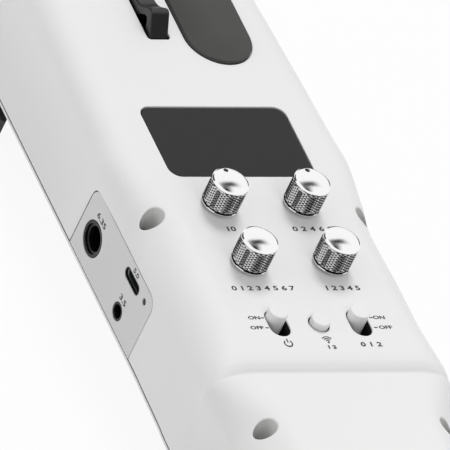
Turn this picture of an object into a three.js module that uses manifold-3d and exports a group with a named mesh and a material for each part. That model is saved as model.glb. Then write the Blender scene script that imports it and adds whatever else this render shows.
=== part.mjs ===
// Digital wind controller, sax style, in millimetres with +Z up.
// It lies on its two rest bars: the control face looks up, the finger keys look down.
// Inside this file y runs from the control datum towards the mouthpiece, and z is
// measured from the control face. The last group moves that frame to the part's own:
// x and y centred, z from the surface that the rest bars stand on.
import * as THREE from 'three';
import { mergeVertices } from 'three/addons/utils/BufferGeometryUtils.js';
import Module from 'manifold-3d';

const wasm = await Module();
wasm.setup();

// Running clearances and walls
const seatGap = 0.3; // between pieces that touch on the real object
const hingeGap = 0.3; // radial, round pins and rods
const cutOverrun = 1; // how far a cut runs past the face it opens
const mergeDepth = 1; // how far a post runs into the wall it stands on
const shellWall = 2.4;
const mergeStep = 1e-4;

// Body
const lowerLength = 158; // datum to the bell end of the shells
const upperLength = 330; // datum to the neck end of the shells
const seamHalfWidth = 35.5; // at the datum
const rearDepth = 32.2; // control face to the seam
const frontDepth = 5.3; // seam to the flat front
const creaseDrop = 2.2; // step from the control face down to the lower body
const neckEndDrop = 6; // the control face falls this much at the neck end
const cornerDepth = 12; // how far down the shoulder's curve reaches
const cornerPull = 3.5; // length of the pull at the shoulder's lower end
const sideBendPull = 8.75; // the same at the top of the side
const bellCapLength = 12;
const bellCapDish = 3;
const bellCapFlare = 1.6;
const bellCapRim = 5;

const creaseShare = 0.285;

// Along the body: [place, crown drop, flat, corner, side, lean, seam].
// Place runs from -1 at the bell end to 1 at the neck end, with the datum at 0 and the
// start of the crease at -creaseShare. Crown drop is a share of creaseDrop below the
// datum and of neckEndDrop above it, the widths are shares of seamHalfWidth.
const stationShares = [
  [-1.0, 1.0, 0.451, 0.563, 0.845, 0.011, 1.003],
  [-0.797, 1.0, 0.507, 0.583, 0.873, 0.011, 1.037],
  [-0.582, 1.0, 0.549, 0.68, 0.89, 0.011, 1.048],
  [-0.43, 1.0, 0.563, 0.73, 0.91, 0.011, 1.042],
  [-0.37, 1.0, 0.592, 0.92, 0.96, 0.014, 1.037],
  [-0.339, 1.0, 0.62, 1.04, 0.985, 0.017, 1.034],
  [-0.3235, 1.0, 0.637, 1.09, 0.997, 0.017, 1.031],
  [-0.318, 0.72, 0.645, 1.07, 0.999, 0.014, 1.028],
  [-0.304, 0.25, 0.656, 1.03, 0.999, 0.011, 1.025],
  [-0.285, 0.06, 0.67, 0.993, 0.997, 0.008, 1.023],
  [-0.253, 0.0, 0.68, 0.945, 0.997, 0.006, 1.014],
  [-0.2, 0.0, 0.68, 0.905, 1.0, 0.0, 1.008],
  [-0.12, 0.0, 0.676, 0.907, 1.0, 0.0, 1.0],
  [0.0, 0.0, 0.676, 0.868, 1.0, 0.0, 1.0],
  [0.035, 0.0, 0.704, 1.0, 1.0, 0.0, 1.0],
  [0.08, 0.0, 0.761, 1.075, 1.008, 0.017, 1.0],
  [0.109, 0.0, 0.746, 1.05, 0.98, 0.028, 1.0],
  [0.155, 0.0, 0.704, 1.05, 0.95, 0.034, 1.0],
  [0.209, 0.0, 0.676, 1.02, 0.93, 0.034, 1.0],
  [0.3, 0.0, 0.62, 0.96, 0.905, 0.034, 0.994],
  [0.4, 0.0, 0.577, 0.93, 0.87, 0.028, 0.972],
  [0.521, 0.0, 0.535, 0.842, 0.803, 0.025, 0.93],
  [0.7, 0.0, 0.479, 0.769, 0.741, 0.023, 0.859],
  [0.861, 0.0, 0.423, 0.679, 0.668, 0.017, 0.775],
  [0.95, 0.0, 0.352, 0.586, 0.592, 0.011, 0.699],
  [1.0, 1.0, 0.225, 0.423, 0.493, 0.006, 0.6],
];
const frontFlatShare = 0.62; // flat front's half width, of the seam's
const frontTuckShare = 0.86; // the front corner's pull, of the seam's
const frontLip = 1; // upright edge of the front shell below the seam
const skinSteps = { corner: 5, side: 3 };
const liningSteps = { corner: 2, side: 1 };
const finestSpan = 28; // stations further apart than this get a ring between them

// Control face
const windowWidth = 42.8;
const windowLength = 25;
const windowCorner = 3;
const windowMidY = 30.4;
const windowThick = 1.6;
const windowSink = 0.25; // the window lies this far below the face
const displayWidth = 50;
const displayLength = 31;
const knobRadius = 5.1;
const knobHeight = 8.4;
const knobLift = 0.7;
const knobShaftRadius = 2.8;
const knobRowX = 12.1;
const knobUpperY = 7.1;
const knobLowerY = -14.1;
const knobShaftReach = 4; // how far the shaft goes into its encoder
const knobCrown = 0.3;
const knobRim = 0.5;
const encoderWidth = 12;
const boardGapZ = 9.5; // underside of what is soldered to the main board
const boardThick = 1.6;
const shaftRunGap = 0.6;

const slideX = 12.05;
const slideTopY = -33.5; // the cap's place as shown, at ON
const slideTravel = 3.5;
const slideCapRadius = 2.65;
const slideCapProud = 2.7;
const slideCapReach = 6.7;
const slideSlotRadius = 2.95;
const slideBodyWidth = 8.6;
const slideBodyLength = 15;
const slideBodyFloor = 1.8;
const creaseGap = 2.28; // from the end of the slide switches to the crease

const buttonY = -35.6;
const buttonRadius = 2.6;
const buttonHoleRadius = 2.95;
const buttonProud = 1.9;
const buttonTravel = 0.5;
const buttonFlangeRadius = 3.9;
const buttonFlangeThick = 1;
const buttonFootRadius = 1.5;
const switchWidth = 6;
const switchHeight = 3.6;

// Boards and power
const mainBoardWidth = 46;
const mainBoardBottomY = -62;
const mainBoardTopY = 54;
const boardPostRadius = 2.2;
const boardPostInset = 3;
const batteryWidth = 40;
const batteryLength = 66;
const batteryHeight = 18.5;
const batteryEndGap = 13; // from the bell end of the shells
const batteryCorner = 9;

// Jack panel on the left side
const panelBottomY = -16.2;
const panelTopY = 26.3;
const panelHeight = 20.1;
const panelThick = 1.8;
const panelCorner = 3.5;
const bigJackY = 18.4;
const bigJackZ = -23.4;
const bigJackHole = 4.98;
const bigJackNose = 4.6;
const bigJackBore = 3.25;
const bigJackBody = 14;
const bigJackLength = 27;
const bigJackFloor = 2;
const usbY = -3.8;
const usbZ = -16.5;
const usbWidth = 9.1;
const usbHeight = 3.25;
const usbWall = 0.35;
const usbLength = 7.2;
const usbFloor = 1.4;
const phonesY = -3.8;
const phonesZ = -27.5;
const phonesHole = 2.55;
const phonesNose = 2.3;
const phonesBore = 1.75;
const phonesBody = 6.6;
const phonesFloor = 1.2;
const noseSink = 0.7; // jack noses end this far behind the panel's face
const pinHoleY = -11.9;
const pinHoleZ = -15.9;
const pinHoleRadius = 0.95;
const jackBoardTopY = 1;
const jackBoardBottomY = -15.2;
const jackBoardHeight = 17.5;

// Case screws in their wells
const wellRadius = 2.65;
const wellDepth = 7;
const upperWell = { inset: 4.4, y: 5.4, rimZ: -3.7 }; // inset from the seam's half width
const lowerWell = { inset: 8.8, y: -67.8, rimZ: -8 };
const screwHeadRadius = 2.3;
const screwHeadHeight = 1.8;
const screwShankRadius = 0.95;
const screwDriveWidth = 1.2;
const screwDriveDepth = 0.9;
const bossRadius = 2.25;
const wellFloor = 2;

// Thumb pad, thumb lever
const padX = 12.3;
const padRadius = 9.6;
const padLowerY = 68.5;
const padUpperY = 105.4;
const padHeight = 2.8;
const padBevel = 0.8;
const recess = 0.9;
const leverX = -4.95;
const leverWidth = 5.5;
const leverHalfLength = 13;
const leverMidY = 81.5;
const leverCrestReach = 8.6; // crest, from the middle
const leverCrestHeight = 5.9;
const leverCrestRound = 0.9;
const leverSaddleHeight = 2.1;
const leverSaddlePull = 4.5; // how far the saddle's curve runs flat from the middle
const leverPivotZ = -4.6;
const leverPinRadius = 1;
const leverHubRadius = 2.7;
const leverFoot = 0.4; // underside of the end, above the face
const leverFootLength = 3.1;
const leverArchReach = 7.7; // high point of the underside, from the middle
const leverArchHeight = 2.7;
const leverWaistReach = 4.6;
const leverSideGap = 0.6;
const leverEndGap = 0.9;
const leverRibThick = 1.9;
const leverRibHalf = 4.5;
const leverRibDepth = 7.6;

// Left thumb: rest and octave keys; strap ring
const restNeckGap = 68; // thumb rest's centre to the neck end of the shells
const restRadius = 11;
const restHeight = 2.2;
const octaveReach = 22; // axle to the tip
const octaveWidth = 14;
const octaveThick = 3;
const octaveLift = 3; // room under the key for its travel
const octaveRestGap = 3;
const octavePinRadius = 1;
const octaveHubRadius = 2.5;
const octaveHubWidth = 8;
const octaveEarThick = 2.2;
const octaveTipRound = 5;
const strapShare = 0.45; // its place from the thumb pad's end to the lower octave key
const strapOuterRadius = 8.5;
const strapInnerRadius = 5.2;
const strapThick = 4;
const strapPlateWidth = 14;
const strapPlateLength = 26;
const strapPlateThick = 2;
const strapPlateCorner = 4;

// Finger keys on the front
const rightStackY = 38; // the lowest key of the right hand
const topKeyGap = 34; // the highest key of the left hand to the neck end
const stackGapShare = 2.32; // between the two stacks, of the keys' pitch
const keyRodX = 16;
const keyRodDrop = 4.4; // rod centre below the front face
const keyRodRadius = 1.5;
const keyHubRadius = 2.7;
const keyHubHalf = 5;
const keyGap = 3.5; // cup to the front face, room for the travel
const keyThick = 4;
const keyCupRadius = 9;
const keyDish = 0.8;
const keyDishRadius = 6.5;
const keyArmWidth = 6;
const littleKeyWidth = 19; // across the body
const littleKeyLength = 17;
const littleKeyX = -6;
const littleKeyCorner = 4;
const rodPostThick = 3.6;
const rodPostWidth = 6.4;
const rodPostFoot = 0.6;
const rodEndReach = 14.6; // rod end past the last key's centre

const sideKeyY = 97;
const sideKeyLength = 40;
const sideKeyShareOut = 0.94; // outer edge, of the seam's half width
const sideKeyRodShare = 0.62; // rod's place, of the seam's half width
const sideKeyHeight = 6;
const sideKeyGap = 2.2;
const sideKeyCorner = 2.2;
const sideKeyTaper = 9; // the lower end narrows over this length
const sideKeyTip = 1.4; // to this width
const sideRodReach = 9;
const sideHubHalf = 5.4;

// Rest bars
const restBarHeight = 9.5; // front face to the surface it stands on
const restBarLength = 12;
const restBarBellGap = 20; // its middle to the bell end of the shells
const restBarNeckGap = 12; // its middle to the neck end of the shells
const restBarLowerWidth = 50;
const restBarUpperWidth = 28;
const restBarArch = 3;
const restBarPadShare = 0.26; // each pad, of the bar's width
const restBarTaper = 1.6;

// Neck and mouthpiece
const neckZ = -20.5;
const neckRadius = 11;
const neckTipRadius = 8;
const neckTenonRadius = 9.5;
const neckTenonLength = 22;
const neckStraight = 20;
const neckBendRadius = 60;
const neckBend = THREE.MathUtils.degToRad(35);
const neckTipLength = 22;
const collarRadius = 15.5;
const collarLength = 8;
const collarBevel = 1.2;
const mouthLength = 64;
const mouthRadius = 12.2;
const mouthSocket = 16; // how deep the neck's tip sits in it
const reedThick = 1.6;
const reedWidth = 12;
const reedHeelGap = 6; // from the end of the neck's tip to the reed's heel
const reedTipGap = 1.2; // sits back from the mouthpiece's tip
const sensorWidth = 16;
const sensorLength = 18;
const sensorHeight = 11;
const airTubeRadius = 3;
const airTubeLength = 10;

// Places that follow from the sizes above
const seamZ = -rearDepth;
const frontZ = seamZ - frontDepth;
const floorZ = frontZ - restBarHeight;
const insideZ = -shellWall; // underside of the control face
const boardTopZ = -boardGapZ - seatGap;
const bodyBottomY = -lowerLength;
const creaseLength = slideTravel / 2 + slideBodyLength / 2 + creaseGap - slideTopY;
const restY = upperLength - restNeckGap;
const reedLength = mouthLength - mouthSocket - reedHeelGap;
const bellY = bodyBottomY - seatGap - bellCapLength;

// Materials, with the colours of the object
const finish = (color, roughness, metalness) => () =>
  new THREE.MeshStandardMaterial({ color, roughness, metalness });
const whitePlastic = finish(0xe9e9e7, 0.42, 0);
const blackPlastic = finish(0x232326, 0.45, 0);
const softRubber = finish(0x3c3c3d, 0.75, 0);
const darkLens = finish(0x3a3a38, 0.3, 0);
const chrome = finish(0xd8d8da, 0.12, 1);
const steel = finish(0xa9abae, 0.35, 1);
const boardGreen = finish(0x1f5a3a, 0.6, 0);
const foilBlue = finish(0x3f5f8a, 0.5, 0);
const canGrey = finish(0x8b8f93, 0.45, 0.6);

// Solids: geometry in, joined and cut shapes out
function solid(geometry) {
  const bare = geometry.clone();
  bare.deleteAttribute('normal');
  bare.deleteAttribute('uv');
  const merged = mergeVertices(bare, mergeStep);
  return new wasm.Manifold(
    new wasm.Mesh({
      numProp: 3,
      vertProperties: merged.attributes.position.array,
      triVerts: new Uint32Array(merged.index.array),
    }),
  );
}

function join(first, ...others) {
  return others.reduce((sum, other) => sum.add(other), first);
}

function cut(first, ...others) {
  return others.reduce((rest, other) => rest.subtract(other), first);
}

function piece(name, shape, material) {
  const made = shape.getMesh();
  const count = made.numVert;
  const places = new Float32Array(count * 3);
  for (let i = 0; i < count; i++) {
    const at = i * made.numProp;
    places.set(made.vertProperties.subarray(at, at + 3), i * 3);
  }
  const geometry = new THREE.BufferGeometry();
  geometry.setAttribute('position', new THREE.BufferAttribute(places, 3));
  geometry.setIndex(new THREE.BufferAttribute(new Uint32Array(made.triVerts), 1));
  geometry.computeVertexNormals();
  const mesh = new THREE.Mesh(geometry, material());
  mesh.name = name;
  return mesh;
}

// A box between two corners
function block(x0, x1, y0, y1, z0, z1) {
  const box = new THREE.BoxGeometry(x1 - x0, y1 - y0, z1 - z0);
  return solid(box.translate((x0 + x1) / 2, (y0 + y1) / 2, (z0 + z1) / 2));
}

// Round bars along each axis, between two ends
function barZ(radius, x, y, z0, z1, sides = 16) {
  const bar = new THREE.CylinderGeometry(radius, radius, z1 - z0, sides);
  return solid(bar.rotateX(Math.PI / 2).translate(x, y, (z0 + z1) / 2));
}

function barY(radius, x, z, y0, y1, sides = 12) {
  const bar = new THREE.CylinderGeometry(radius, radius, y1 - y0, sides);
  return solid(bar.translate(x, (y0 + y1) / 2, z));
}

function barX(radius, y, z, x0, x1, sides = 12) {
  const bar = new THREE.CylinderGeometry(radius, radius, x1 - x0, sides);
  return solid(bar.rotateZ(-Math.PI / 2).translate((x0 + x1) / 2, y, z));
}

function roundedRectangle(width, length, corner) {
  const x = width / 2;
  const y = length / 2;
  const quarter = Math.PI / 2;
  const shape = new THREE.Shape();
  shape.absarc(x - corner, y - corner, corner, 0, quarter);
  shape.absarc(corner - x, y - corner, corner, quarter, 2 * quarter);
  shape.absarc(corner - x, corner - y, corner, 2 * quarter, 3 * quarter);
  shape.absarc(x - corner, corner - y, corner, 3 * quarter, 4 * quarter);
  return shape;
}

// A plate with rounded corners, seen along Z
function plateZ(width, length, corner, x, y, z0, z1, curveSegments = 3) {
  const shape = roundedRectangle(width, length, corner);
  const plate = new THREE.ExtrudeGeometry(shape, {
    depth: z1 - z0,
    bevelEnabled: false,
    curveSegments,
  });
  return solid(plate.translate(x, y, z0));
}

// The same plate stood up to face along X: length along Y, height along Z
function plateX(height, length, corner, y, z, x0, x1, curveSegments = 3) {
  const shape = roundedRectangle(height, length, corner);
  const plate = new THREE.ExtrudeGeometry(shape, {
    depth: x1 - x0,
    bevelEnabled: false,
    curveSegments,
  });
  return solid(plate.rotateY(Math.PI / 2).translate(x0, y, z));
}

// Closed rings of equal count, clockwise as seen from the bell end, capped at both ends
function loft(rings) {
  const count = rings[0].length;
  const index = [];
  for (let row = 0; row + 1 < rings.length; row++)
    for (let i = 0; i < count; i++) {
      const a = row * count + i;
      const b = row * count + ((i + 1) % count);
      index.push(a, b, a + count, b, b + count, a + count);
    }
  const cap = (row, turn) => {
    const flat = rings[row].map((p) => new THREE.Vector2(p.x, p.z));
    for (const face of THREE.ShapeUtils.triangulateShape(flat, [])) {
      const area = THREE.ShapeUtils.area(face.map((i) => flat[i]));
      const ordered = area * turn > 0 ? face : face.toReversed();
      index.push(...ordered.map((i) => row * count + i));
    }
  };
  cap(0, 1);
  cap(rings.length - 1, -1);
  const geometry = new THREE.BufferGeometry();
  const places = rings.flat().flatMap((p) => [p.x, p.y, p.z]);
  geometry.setAttribute('position', new THREE.Float32BufferAttribute(places, 3));
  geometry.setIndex(index);
  return solid(geometry);
}

// Where a station lies along the body
function stationY([place]) {
  if (place >= 0) return place * upperLength;
  if (place >= -creaseShare) return (place / creaseShare) * creaseLength;
  const past = (-place - creaseShare) / (1 - creaseShare);
  return -creaseLength - past * (lowerLength - creaseLength);
}

function stationSizes(row) {
  const drop = row[0] < 0 ? creaseDrop : neckEndDrop;
  return [row[1] * drop, ...row.slice(2).map((share) => share * seamHalfWidth)];
}

// The body's sizes at a place along it, eased between the stations
function bodyAt(y) {
  const last = stationShares.length - 1;
  let i = 1;
  while (i < last && stationY(stationShares[i]) < y) i++;
  const four = [i - 2, i - 1, i, i + 1].map(
    (k) => stationShares[Math.min(last, Math.max(0, k))],
  );
  const from = stationY(four[1]);
  const span = stationY(four[2]) - from;
  const t = Math.min(1, Math.max(0, (y - from) / span));
  const values = four.map(stationSizes);
  const places = four.map(stationY);
  const slope = (a, b, k) => (values[b][k] - values[a][k]) / (places[b] - places[a] || 1);
  const sizes = values[1].map((_, k) => {
    const middle = slope(1, 2, k);
    const before = places[0] < places[1] ? limited(slope(0, 1, k), middle) : middle;
    const after = places[3] > places[2] ? limited(middle, slope(2, 3, k)) : middle;
    const t2 = t * t;
    const t3 = t2 * t;
    return (
      (2 * t3 - 3 * t2 + 1) * values[1][k] +
      (t3 - 2 * t2 + t) * span * before +
      (3 * t2 - 2 * t3) * values[2][k] +
      (t3 - t2) * span * after
    );
  });
  const [drop, flat, corner, side, lean, seam] = sizes;
  return { crown: -drop, flat, corner, side, lean, seam };
}

// The slope at a station, level where the two sides of it disagree
function limited(a, b) {
  return a * b > 0 ? (2 * a * b) / (a + b) : 0;
}

// A point on a curve with one pull between its ends
function bend(from, pull, to, t) {
  const u = 1 - t;
  return [0, 1].map((k) => u * u * from[k] + 2 * u * t * pull[k] + t * t * to[k]);
}

// The same with a pull for each end
function doubleBend(from, pull, draw, to, t) {
  const near = bend(from, pull, draw, t);
  const far = bend(pull, draw, to, t);
  return [0, 1].map((k) => near[k] * (1 - t) + far[k] * t);
}

// Half of the rear shell's section, centre to seam; the inset makes the inner skin
function rearHalf(y, inset, steps, bottomZ) {
  const { crown, flat, corner, side, lean, seam } = bodyAt(y);
  const top = crown - inset;
  const shoulder = [side - inset, crown - cornerDepth];
  const above = [shoulder[0] + lean, shoulder[1] + cornerPull];
  const below = [
    shoulder[0] - (lean * sideBendPull) / cornerPull,
    shoulder[1] - sideBendPull,
  ];
  const seamPoint = [seam - inset, seamZ];
  const half = [[flat, top]];
  for (let i = 1; i <= steps.corner; i++)
    half.push(doubleBend([flat, top], [corner - inset, top], above, shoulder, i / steps.corner));
  for (let i = 1; i <= steps.side; i++)
    half.push(bend(shoulder, below, seamPoint, i / steps.side));
  if (bottomZ < seamZ) half.push([seam - inset, bottomZ]);
  return half;
}

// Half of the front shell's section, seam to centre
function frontHalf(y, inset, steps, topZ) {
  const seam = bodyAt(y).seam - inset;
  const lip = [seam, seamZ - frontLip];
  const flat = [seam * frontFlatShare, frontZ + inset];
  const half = [[seam, topZ]];
  for (let i = 0; i <= steps; i++)
    half.push(bend(lip, [seam * frontTuckShare, frontZ + inset], flat, i / steps));
  return half;
}

// A full ring from a half: right half, then the left half mirrored
function ringFrom(half, y) {
  const right = half.map(([x, z]) => new THREE.Vector3(x, y, z));
  const left = half.map(([x, z]) => new THREE.Vector3(-x, y, z)).reverse();
  return [...right, ...left];
}

// Places along the body where a ring is cut, closer together round the controls
function ringPlaces(y0, y1, fine) {
  const places = [];
  const stations = stationShares.map(stationY);
  for (let i = 0; i + 1 < stations.length; i++) {
    places.push(stations[i]);
    if (fine && stations[i + 1] - stations[i] > finestSpan)
      places.push((stations[i] + stations[i + 1]) / 2);
  }
  return [y0, ...places.filter((y) => y > y0 + shellWall && y < y1 - shellWall), y1];
}

function rearSkin(y0, y1, inset, steps, bottomZ, fine) {
  return loft(
    ringPlaces(y0, y1, fine).map((y) => ringFrom(rearHalf(y, inset, steps, bottomZ), y)),
  );
}

function frontSkin(y0, y1, inset, steps, topZ, fine) {
  return loft(
    ringPlaces(y0, y1, fine).map((y) => ringFrom(frontHalf(y, inset, steps, topZ), y)),
  );
}

// Where each case screw stands
const wells = [upperWell, lowerWell].flatMap((well) =>
  [-1, 1].map((side) => ({ ...well, x: side * (seamHalfWidth - well.inset) })),
);
const wellFloorZ = (well) => well.rimZ - wellDepth;

const knobPlaces = [
  ['knob_upper_left', -knobRowX, knobUpperY],
  ['knob_upper_right', knobRowX, knobUpperY],
  ['knob_lower_left', -knobRowX, knobLowerY],
  ['knob_lower_right', knobRowX, knobLowerY],
];
const octaveAxles = [
  { name: 'octave_key_upper', side: 1, y: restY + restRadius + octaveRestGap + octaveReach },
  { name: 'octave_key_lower', side: -1, y: restY - restRadius - octaveRestGap - octaveReach },
];
const octaveAxleZ = octaveLift + octaveThick / 2;
const padEndY = padUpperY + padRadius;
const strapY = padEndY + strapShare * (octaveAxles[1].y - padEndY);
const boardPosts = [mainBoardBottomY + boardPostInset, mainBoardTopY - boardPostInset].flatMap(
  (y) => [-1, 1].map((side) => [side * (mainBoardWidth / 2 - boardPostInset), y]),
);

function stadium(radius, x, y0, y1, z0, z1) {
  const sides = block(x - radius, x + radius, y0, y1, z0, z1);
  return join(sides, barZ(radius, x, y0, z0, z1), barZ(radius, x, y1, z0, z1));
}

// Rear shell: the control side, open towards the seam
function rearShell() {
  const bottomY = bodyBottomY;
  const outer = rearSkin(bottomY, upperLength, 0, skinSteps, seamZ, true);
  const inner = rearSkin(
    bottomY + shellWall,
    upperLength - shellWall,
    shellWall,
    liningSteps,
    seamZ - cutOverrun,
    false,
  );
  const bosses = wells.map((well) =>
    join(
      barZ(wellRadius + shellWall / 2, well.x, well.y, wellFloorZ(well) - wellFloor, 0, 14),
      barZ(bossRadius, well.x, well.y, seamZ, wellFloorZ(well), 14),
    ).intersect(outer),
  );
  const posts = boardPosts.map(([x, y]) => barZ(boardPostRadius, x, y, -boardGapZ, insideZ, 10));
  const ribs = [-1, 1].map((side) => {
    const near = leverX + side * (leverWidth / 2 + leverSideGap + seatGap);
    const far = near + side * leverRibThick;
    return block(
      Math.min(near, far),
      Math.max(near, far),
      leverMidY - leverRibHalf,
      leverMidY + leverRibHalf,
      -leverRibDepth,
      insideZ,
    );
  });
  const ears = octaveAxles.flatMap(({ y }) =>
    [-1, 1].map((side) => {
      const near = side * (octaveHubWidth / 2 + seatGap);
      const far = near + side * octaveEarThick;
      const stand = block(
        Math.min(near, far),
        Math.max(near, far),
        y - octaveHubRadius,
        y + octaveHubRadius,
        insideZ,
        octaveAxleZ,
      );
      const head = barX(octaveHubRadius, y, octaveAxleZ, Math.min(near, far), Math.max(near, far));
      return join(stand, head);
    }),
  );
  const body = join(outer.subtract(inner), ...bosses, ...posts, ...ribs, ...ears);
  return cut(body, ...faceCuts(), ...wellCuts(), ...sideCuts(), ...pinCuts());
}

// What is cut through or into the control face
function faceCuts() {
  const through = [insideZ - cutOverrun, cutOverrun];
  const grow = 2 * seatGap;
  return [
    plateZ(
      windowWidth + grow,
      windowLength + grow,
      windowCorner + seatGap,
      0,
      windowMidY,
      ...through,
    ),
    ...knobPlaces.map(([, x, y]) => barZ(knobShaftRadius + shaftRunGap, x, y, ...through)),
    ...[-slideX, slideX].map((x) =>
      stadium(slideSlotRadius, x, slideTopY - slideTravel, slideTopY, ...through),
    ),
    barZ(buttonHoleRadius, 0, buttonY, ...through),
    stadium(padRadius + seatGap, padX, padLowerY, padUpperY, -recess, cutOverrun),
    block(
      leverX - leverWidth / 2 - leverSideGap,
      leverX + leverWidth / 2 + leverSideGap,
      leverMidY - leverHalfLength - leverEndGap,
      leverMidY + leverHalfLength + leverEndGap,
      ...through,
    ),
    barZ(restRadius + seatGap, 0, restY, -recess, cutOverrun, 28),
    plateZ(
      strapPlateWidth + grow,
      strapPlateLength + grow,
      strapPlateCorner,
      0,
      strapY,
      -recess,
      cutOverrun,
    ),
  ];
}

function wellCuts() {
  return wells.flatMap((well) => [
    barZ(wellRadius, well.x, well.y, wellFloorZ(well), cutOverrun, 18),
    barZ(screwShankRadius + seatGap, well.x, well.y, seamZ - cutOverrun, cutOverrun, 10),
  ]);
}

// The jack panel's place, open towards the seam, and the neck's hole
function sideCuts() {
  const panelMidY = (panelTopY + panelBottomY) / 2;
  const openHeight = panelHeight + panelCorner + 2 * seatGap;
  const topZ = seamZ + panelHeight + seatGap;
  return [
    plateX(
      openHeight,
      panelTopY - panelBottomY + 2 * seatGap,
      panelCorner + seatGap,
      panelMidY,
      topZ - openHeight / 2,
      -seamHalfWidth - cutOverrun,
      -seamHalfWidth + panelThick + seatGap,
    ),
    block(
      -seamHalfWidth,
      -seamHalfWidth + shellWall + cutOverrun,
      bigJackY - bigJackBody / 2 - seatGap,
      bigJackY + bigJackBody / 2 + seatGap,
      bigJackZ - bigJackBody / 2 - seatGap,
      bigJackZ + bigJackBody / 2 + seatGap,
    ),
    block(
      -seamHalfWidth,
      -seamHalfWidth + shellWall + cutOverrun,
      jackBoardBottomY,
      jackBoardTopY,
      phonesZ - phonesBody / 2 - seatGap,
      usbZ + usbHeight,
    ),
    barY(
      neckTenonRadius + seatGap,
      0,
      neckZ,
      upperLength - shellWall - cutOverrun,
      upperLength + cutOverrun,
      24,
    ),
  ];
}

function pinCuts() {
  const leverEnd = leverWidth / 2 + leverSideGap + seatGap + leverRibThick;
  const octaveEnd = octaveHubWidth / 2 + seatGap + octaveEarThick + cutOverrun;
  return [
    barX(
      leverPinRadius + hingeGap,
      leverMidY,
      leverPivotZ,
      leverX - leverEnd - cutOverrun,
      leverX + leverEnd + cutOverrun,
      12,
    ),
    ...octaveAxles.map(({ y }) =>
      barX(octavePinRadius + hingeGap, y, octaveAxleZ, -octaveEnd, octaveEnd, 12),
    ),
  ];
}

// Front shell: the key side, a shallow tray with screw posts and rod posts
const keyRodZ = frontZ - keyRodDrop;
const keysPerStack = 5;
const littleKeys = 2;
const keyRows = 2 * (keysPerStack - 1) + stackGapShare;
const keyPitch = (upperLength - topKeyGap - rightStackY) / keyRows;
const stacks = [
  { hand: 'right', y: rightStackY },
  { hand: 'left', y: rightStackY + (keysPerStack - 1 + stackGapShare) * keyPitch },
];
const stackEnd = (stack) => stack.y + (keysPerStack - 1) * keyPitch;
const sideKeys = [{ name: 'side_key', side: -1, y: sideKeyY }];
const sideRodX = (key) => key.side * bodyAt(key.y).seam * sideKeyRodShare;

function rodPost(x, y) {
  const top = frontZ + rodPostFoot;
  const half = rodPostThick / 2;
  const stand = block(x - rodPostWidth / 2, x + rodPostWidth / 2, y - half, y + half, keyRodZ, top);
  return join(stand, barY(rodPostWidth / 2, x, keyRodZ, y - half, y + half, 10));
}

function postPlaces() {
  const places = [];
  for (const stack of stacks)
    for (let i = 0; i <= keysPerStack; i++)
      places.push([keyRodX, stack.y + (i - 1 / 2) * keyPitch]);
  for (const key of sideKeys)
    for (const end of [-1, 1]) places.push([sideRodX(key), key.y + end * sideRodReach]);
  return places;
}

function frontShell() {
  const topZ = seamZ - seatGap;
  const outer = frontSkin(bodyBottomY, upperLength, 0, 4, topZ, false);
  const inner = frontSkin(
    bodyBottomY + shellWall,
    upperLength - shellWall,
    shellWall,
    2,
    topZ + cutOverrun,
    false,
  );
  const footZ = frontZ + mergeDepth;
  const screwPosts = wells.map((well) => barZ(bossRadius, well.x, well.y, footZ, topZ, 14));
  const shell = join(
    outer.subtract(inner),
    ...screwPosts.map((post) => post.intersect(outer)),
    ...postPlaces().map(([x, y]) => rodPost(x, y)),
  );
  const shanks = wells.map((well) =>
    barZ(screwShankRadius + seatGap, well.x, well.y, frontZ + shellWall / 2, seamZ, 10),
  );
  const bore = keyRodRadius + hingeGap;
  const rods = stacks.map((stack) =>
    barY(bore, keyRodX, keyRodZ, stack.y - keyPitch, stackEnd(stack) + keyPitch, 8),
  );
  const sideRods = sideKeys.map((key) =>
    barY(bore, sideRodX(key), keyRodZ, key.y - sideKeyLength, key.y + sideKeyLength, 8),
  );
  return cut(shell, ...shanks, ...rods, ...sideRods);
}

// Bell cap: closes the lower end, flared a little, with a shallow dish
function bellCap() {
  const topY = bodyBottomY - seatGap;
  const outline = (y, grow) => {
    const half = rearHalf(bodyBottomY, -grow, skinSteps, seamZ);
    const under = frontHalf(bodyBottomY, -grow, 4, seamZ).slice(1);
    return ringFrom([...half, ...under], y);
  };
  const rim = bellY + bellCapRim;
  const cap = loft([outline(bellY, 0), outline(rim, bellCapFlare), outline(topY, 0)]);
  const dish = loft([
    outline(bellY - cutOverrun, -bellCapRim),
    outline(bellY + bellCapDish, -bellCapRim),
  ]);
  return cap.subtract(dish);
}

// Jack panel, with a hole for each socket
function jackPanel() {
  const x0 = -seamHalfWidth;
  const x1 = x0 + panelThick;
  const through = [x0 - cutOverrun, x1 + cutOverrun];
  const plate = plateX(
    panelHeight,
    panelTopY - panelBottomY,
    panelCorner,
    (panelTopY + panelBottomY) / 2,
    seamZ + panelHeight / 2,
    x0,
    x1,
  );
  return cut(
    plate,
    barX(bigJackHole, bigJackY, bigJackZ, ...through, 16),
    barX(phonesHole, phonesY, phonesZ, ...through),
    plateX(usbHeight, usbWidth, usbHeight / 2 - mergeStep, usbY, usbZ, ...through),
    barX(pinHoleRadius, pinHoleY, pinHoleZ, ...through, 10),
  );
}

function socket(y, z, nose, bore, body, length, floor, sides) {
  const faceX = -seamHalfWidth + noseSink;
  const backX = -seamHalfWidth + panelThick + seatGap;
  const endX = faceX + length;
  const half = body / 2;
  const housing = block(backX, endX, y - half, y + half, z - half, z + half);
  const tube = barX(nose, y, z, faceX, backX + cutOverrun, sides);
  return cut(join(housing, tube), barX(bore, y, z, faceX - cutOverrun, endX - floor, sides));
}

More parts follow.
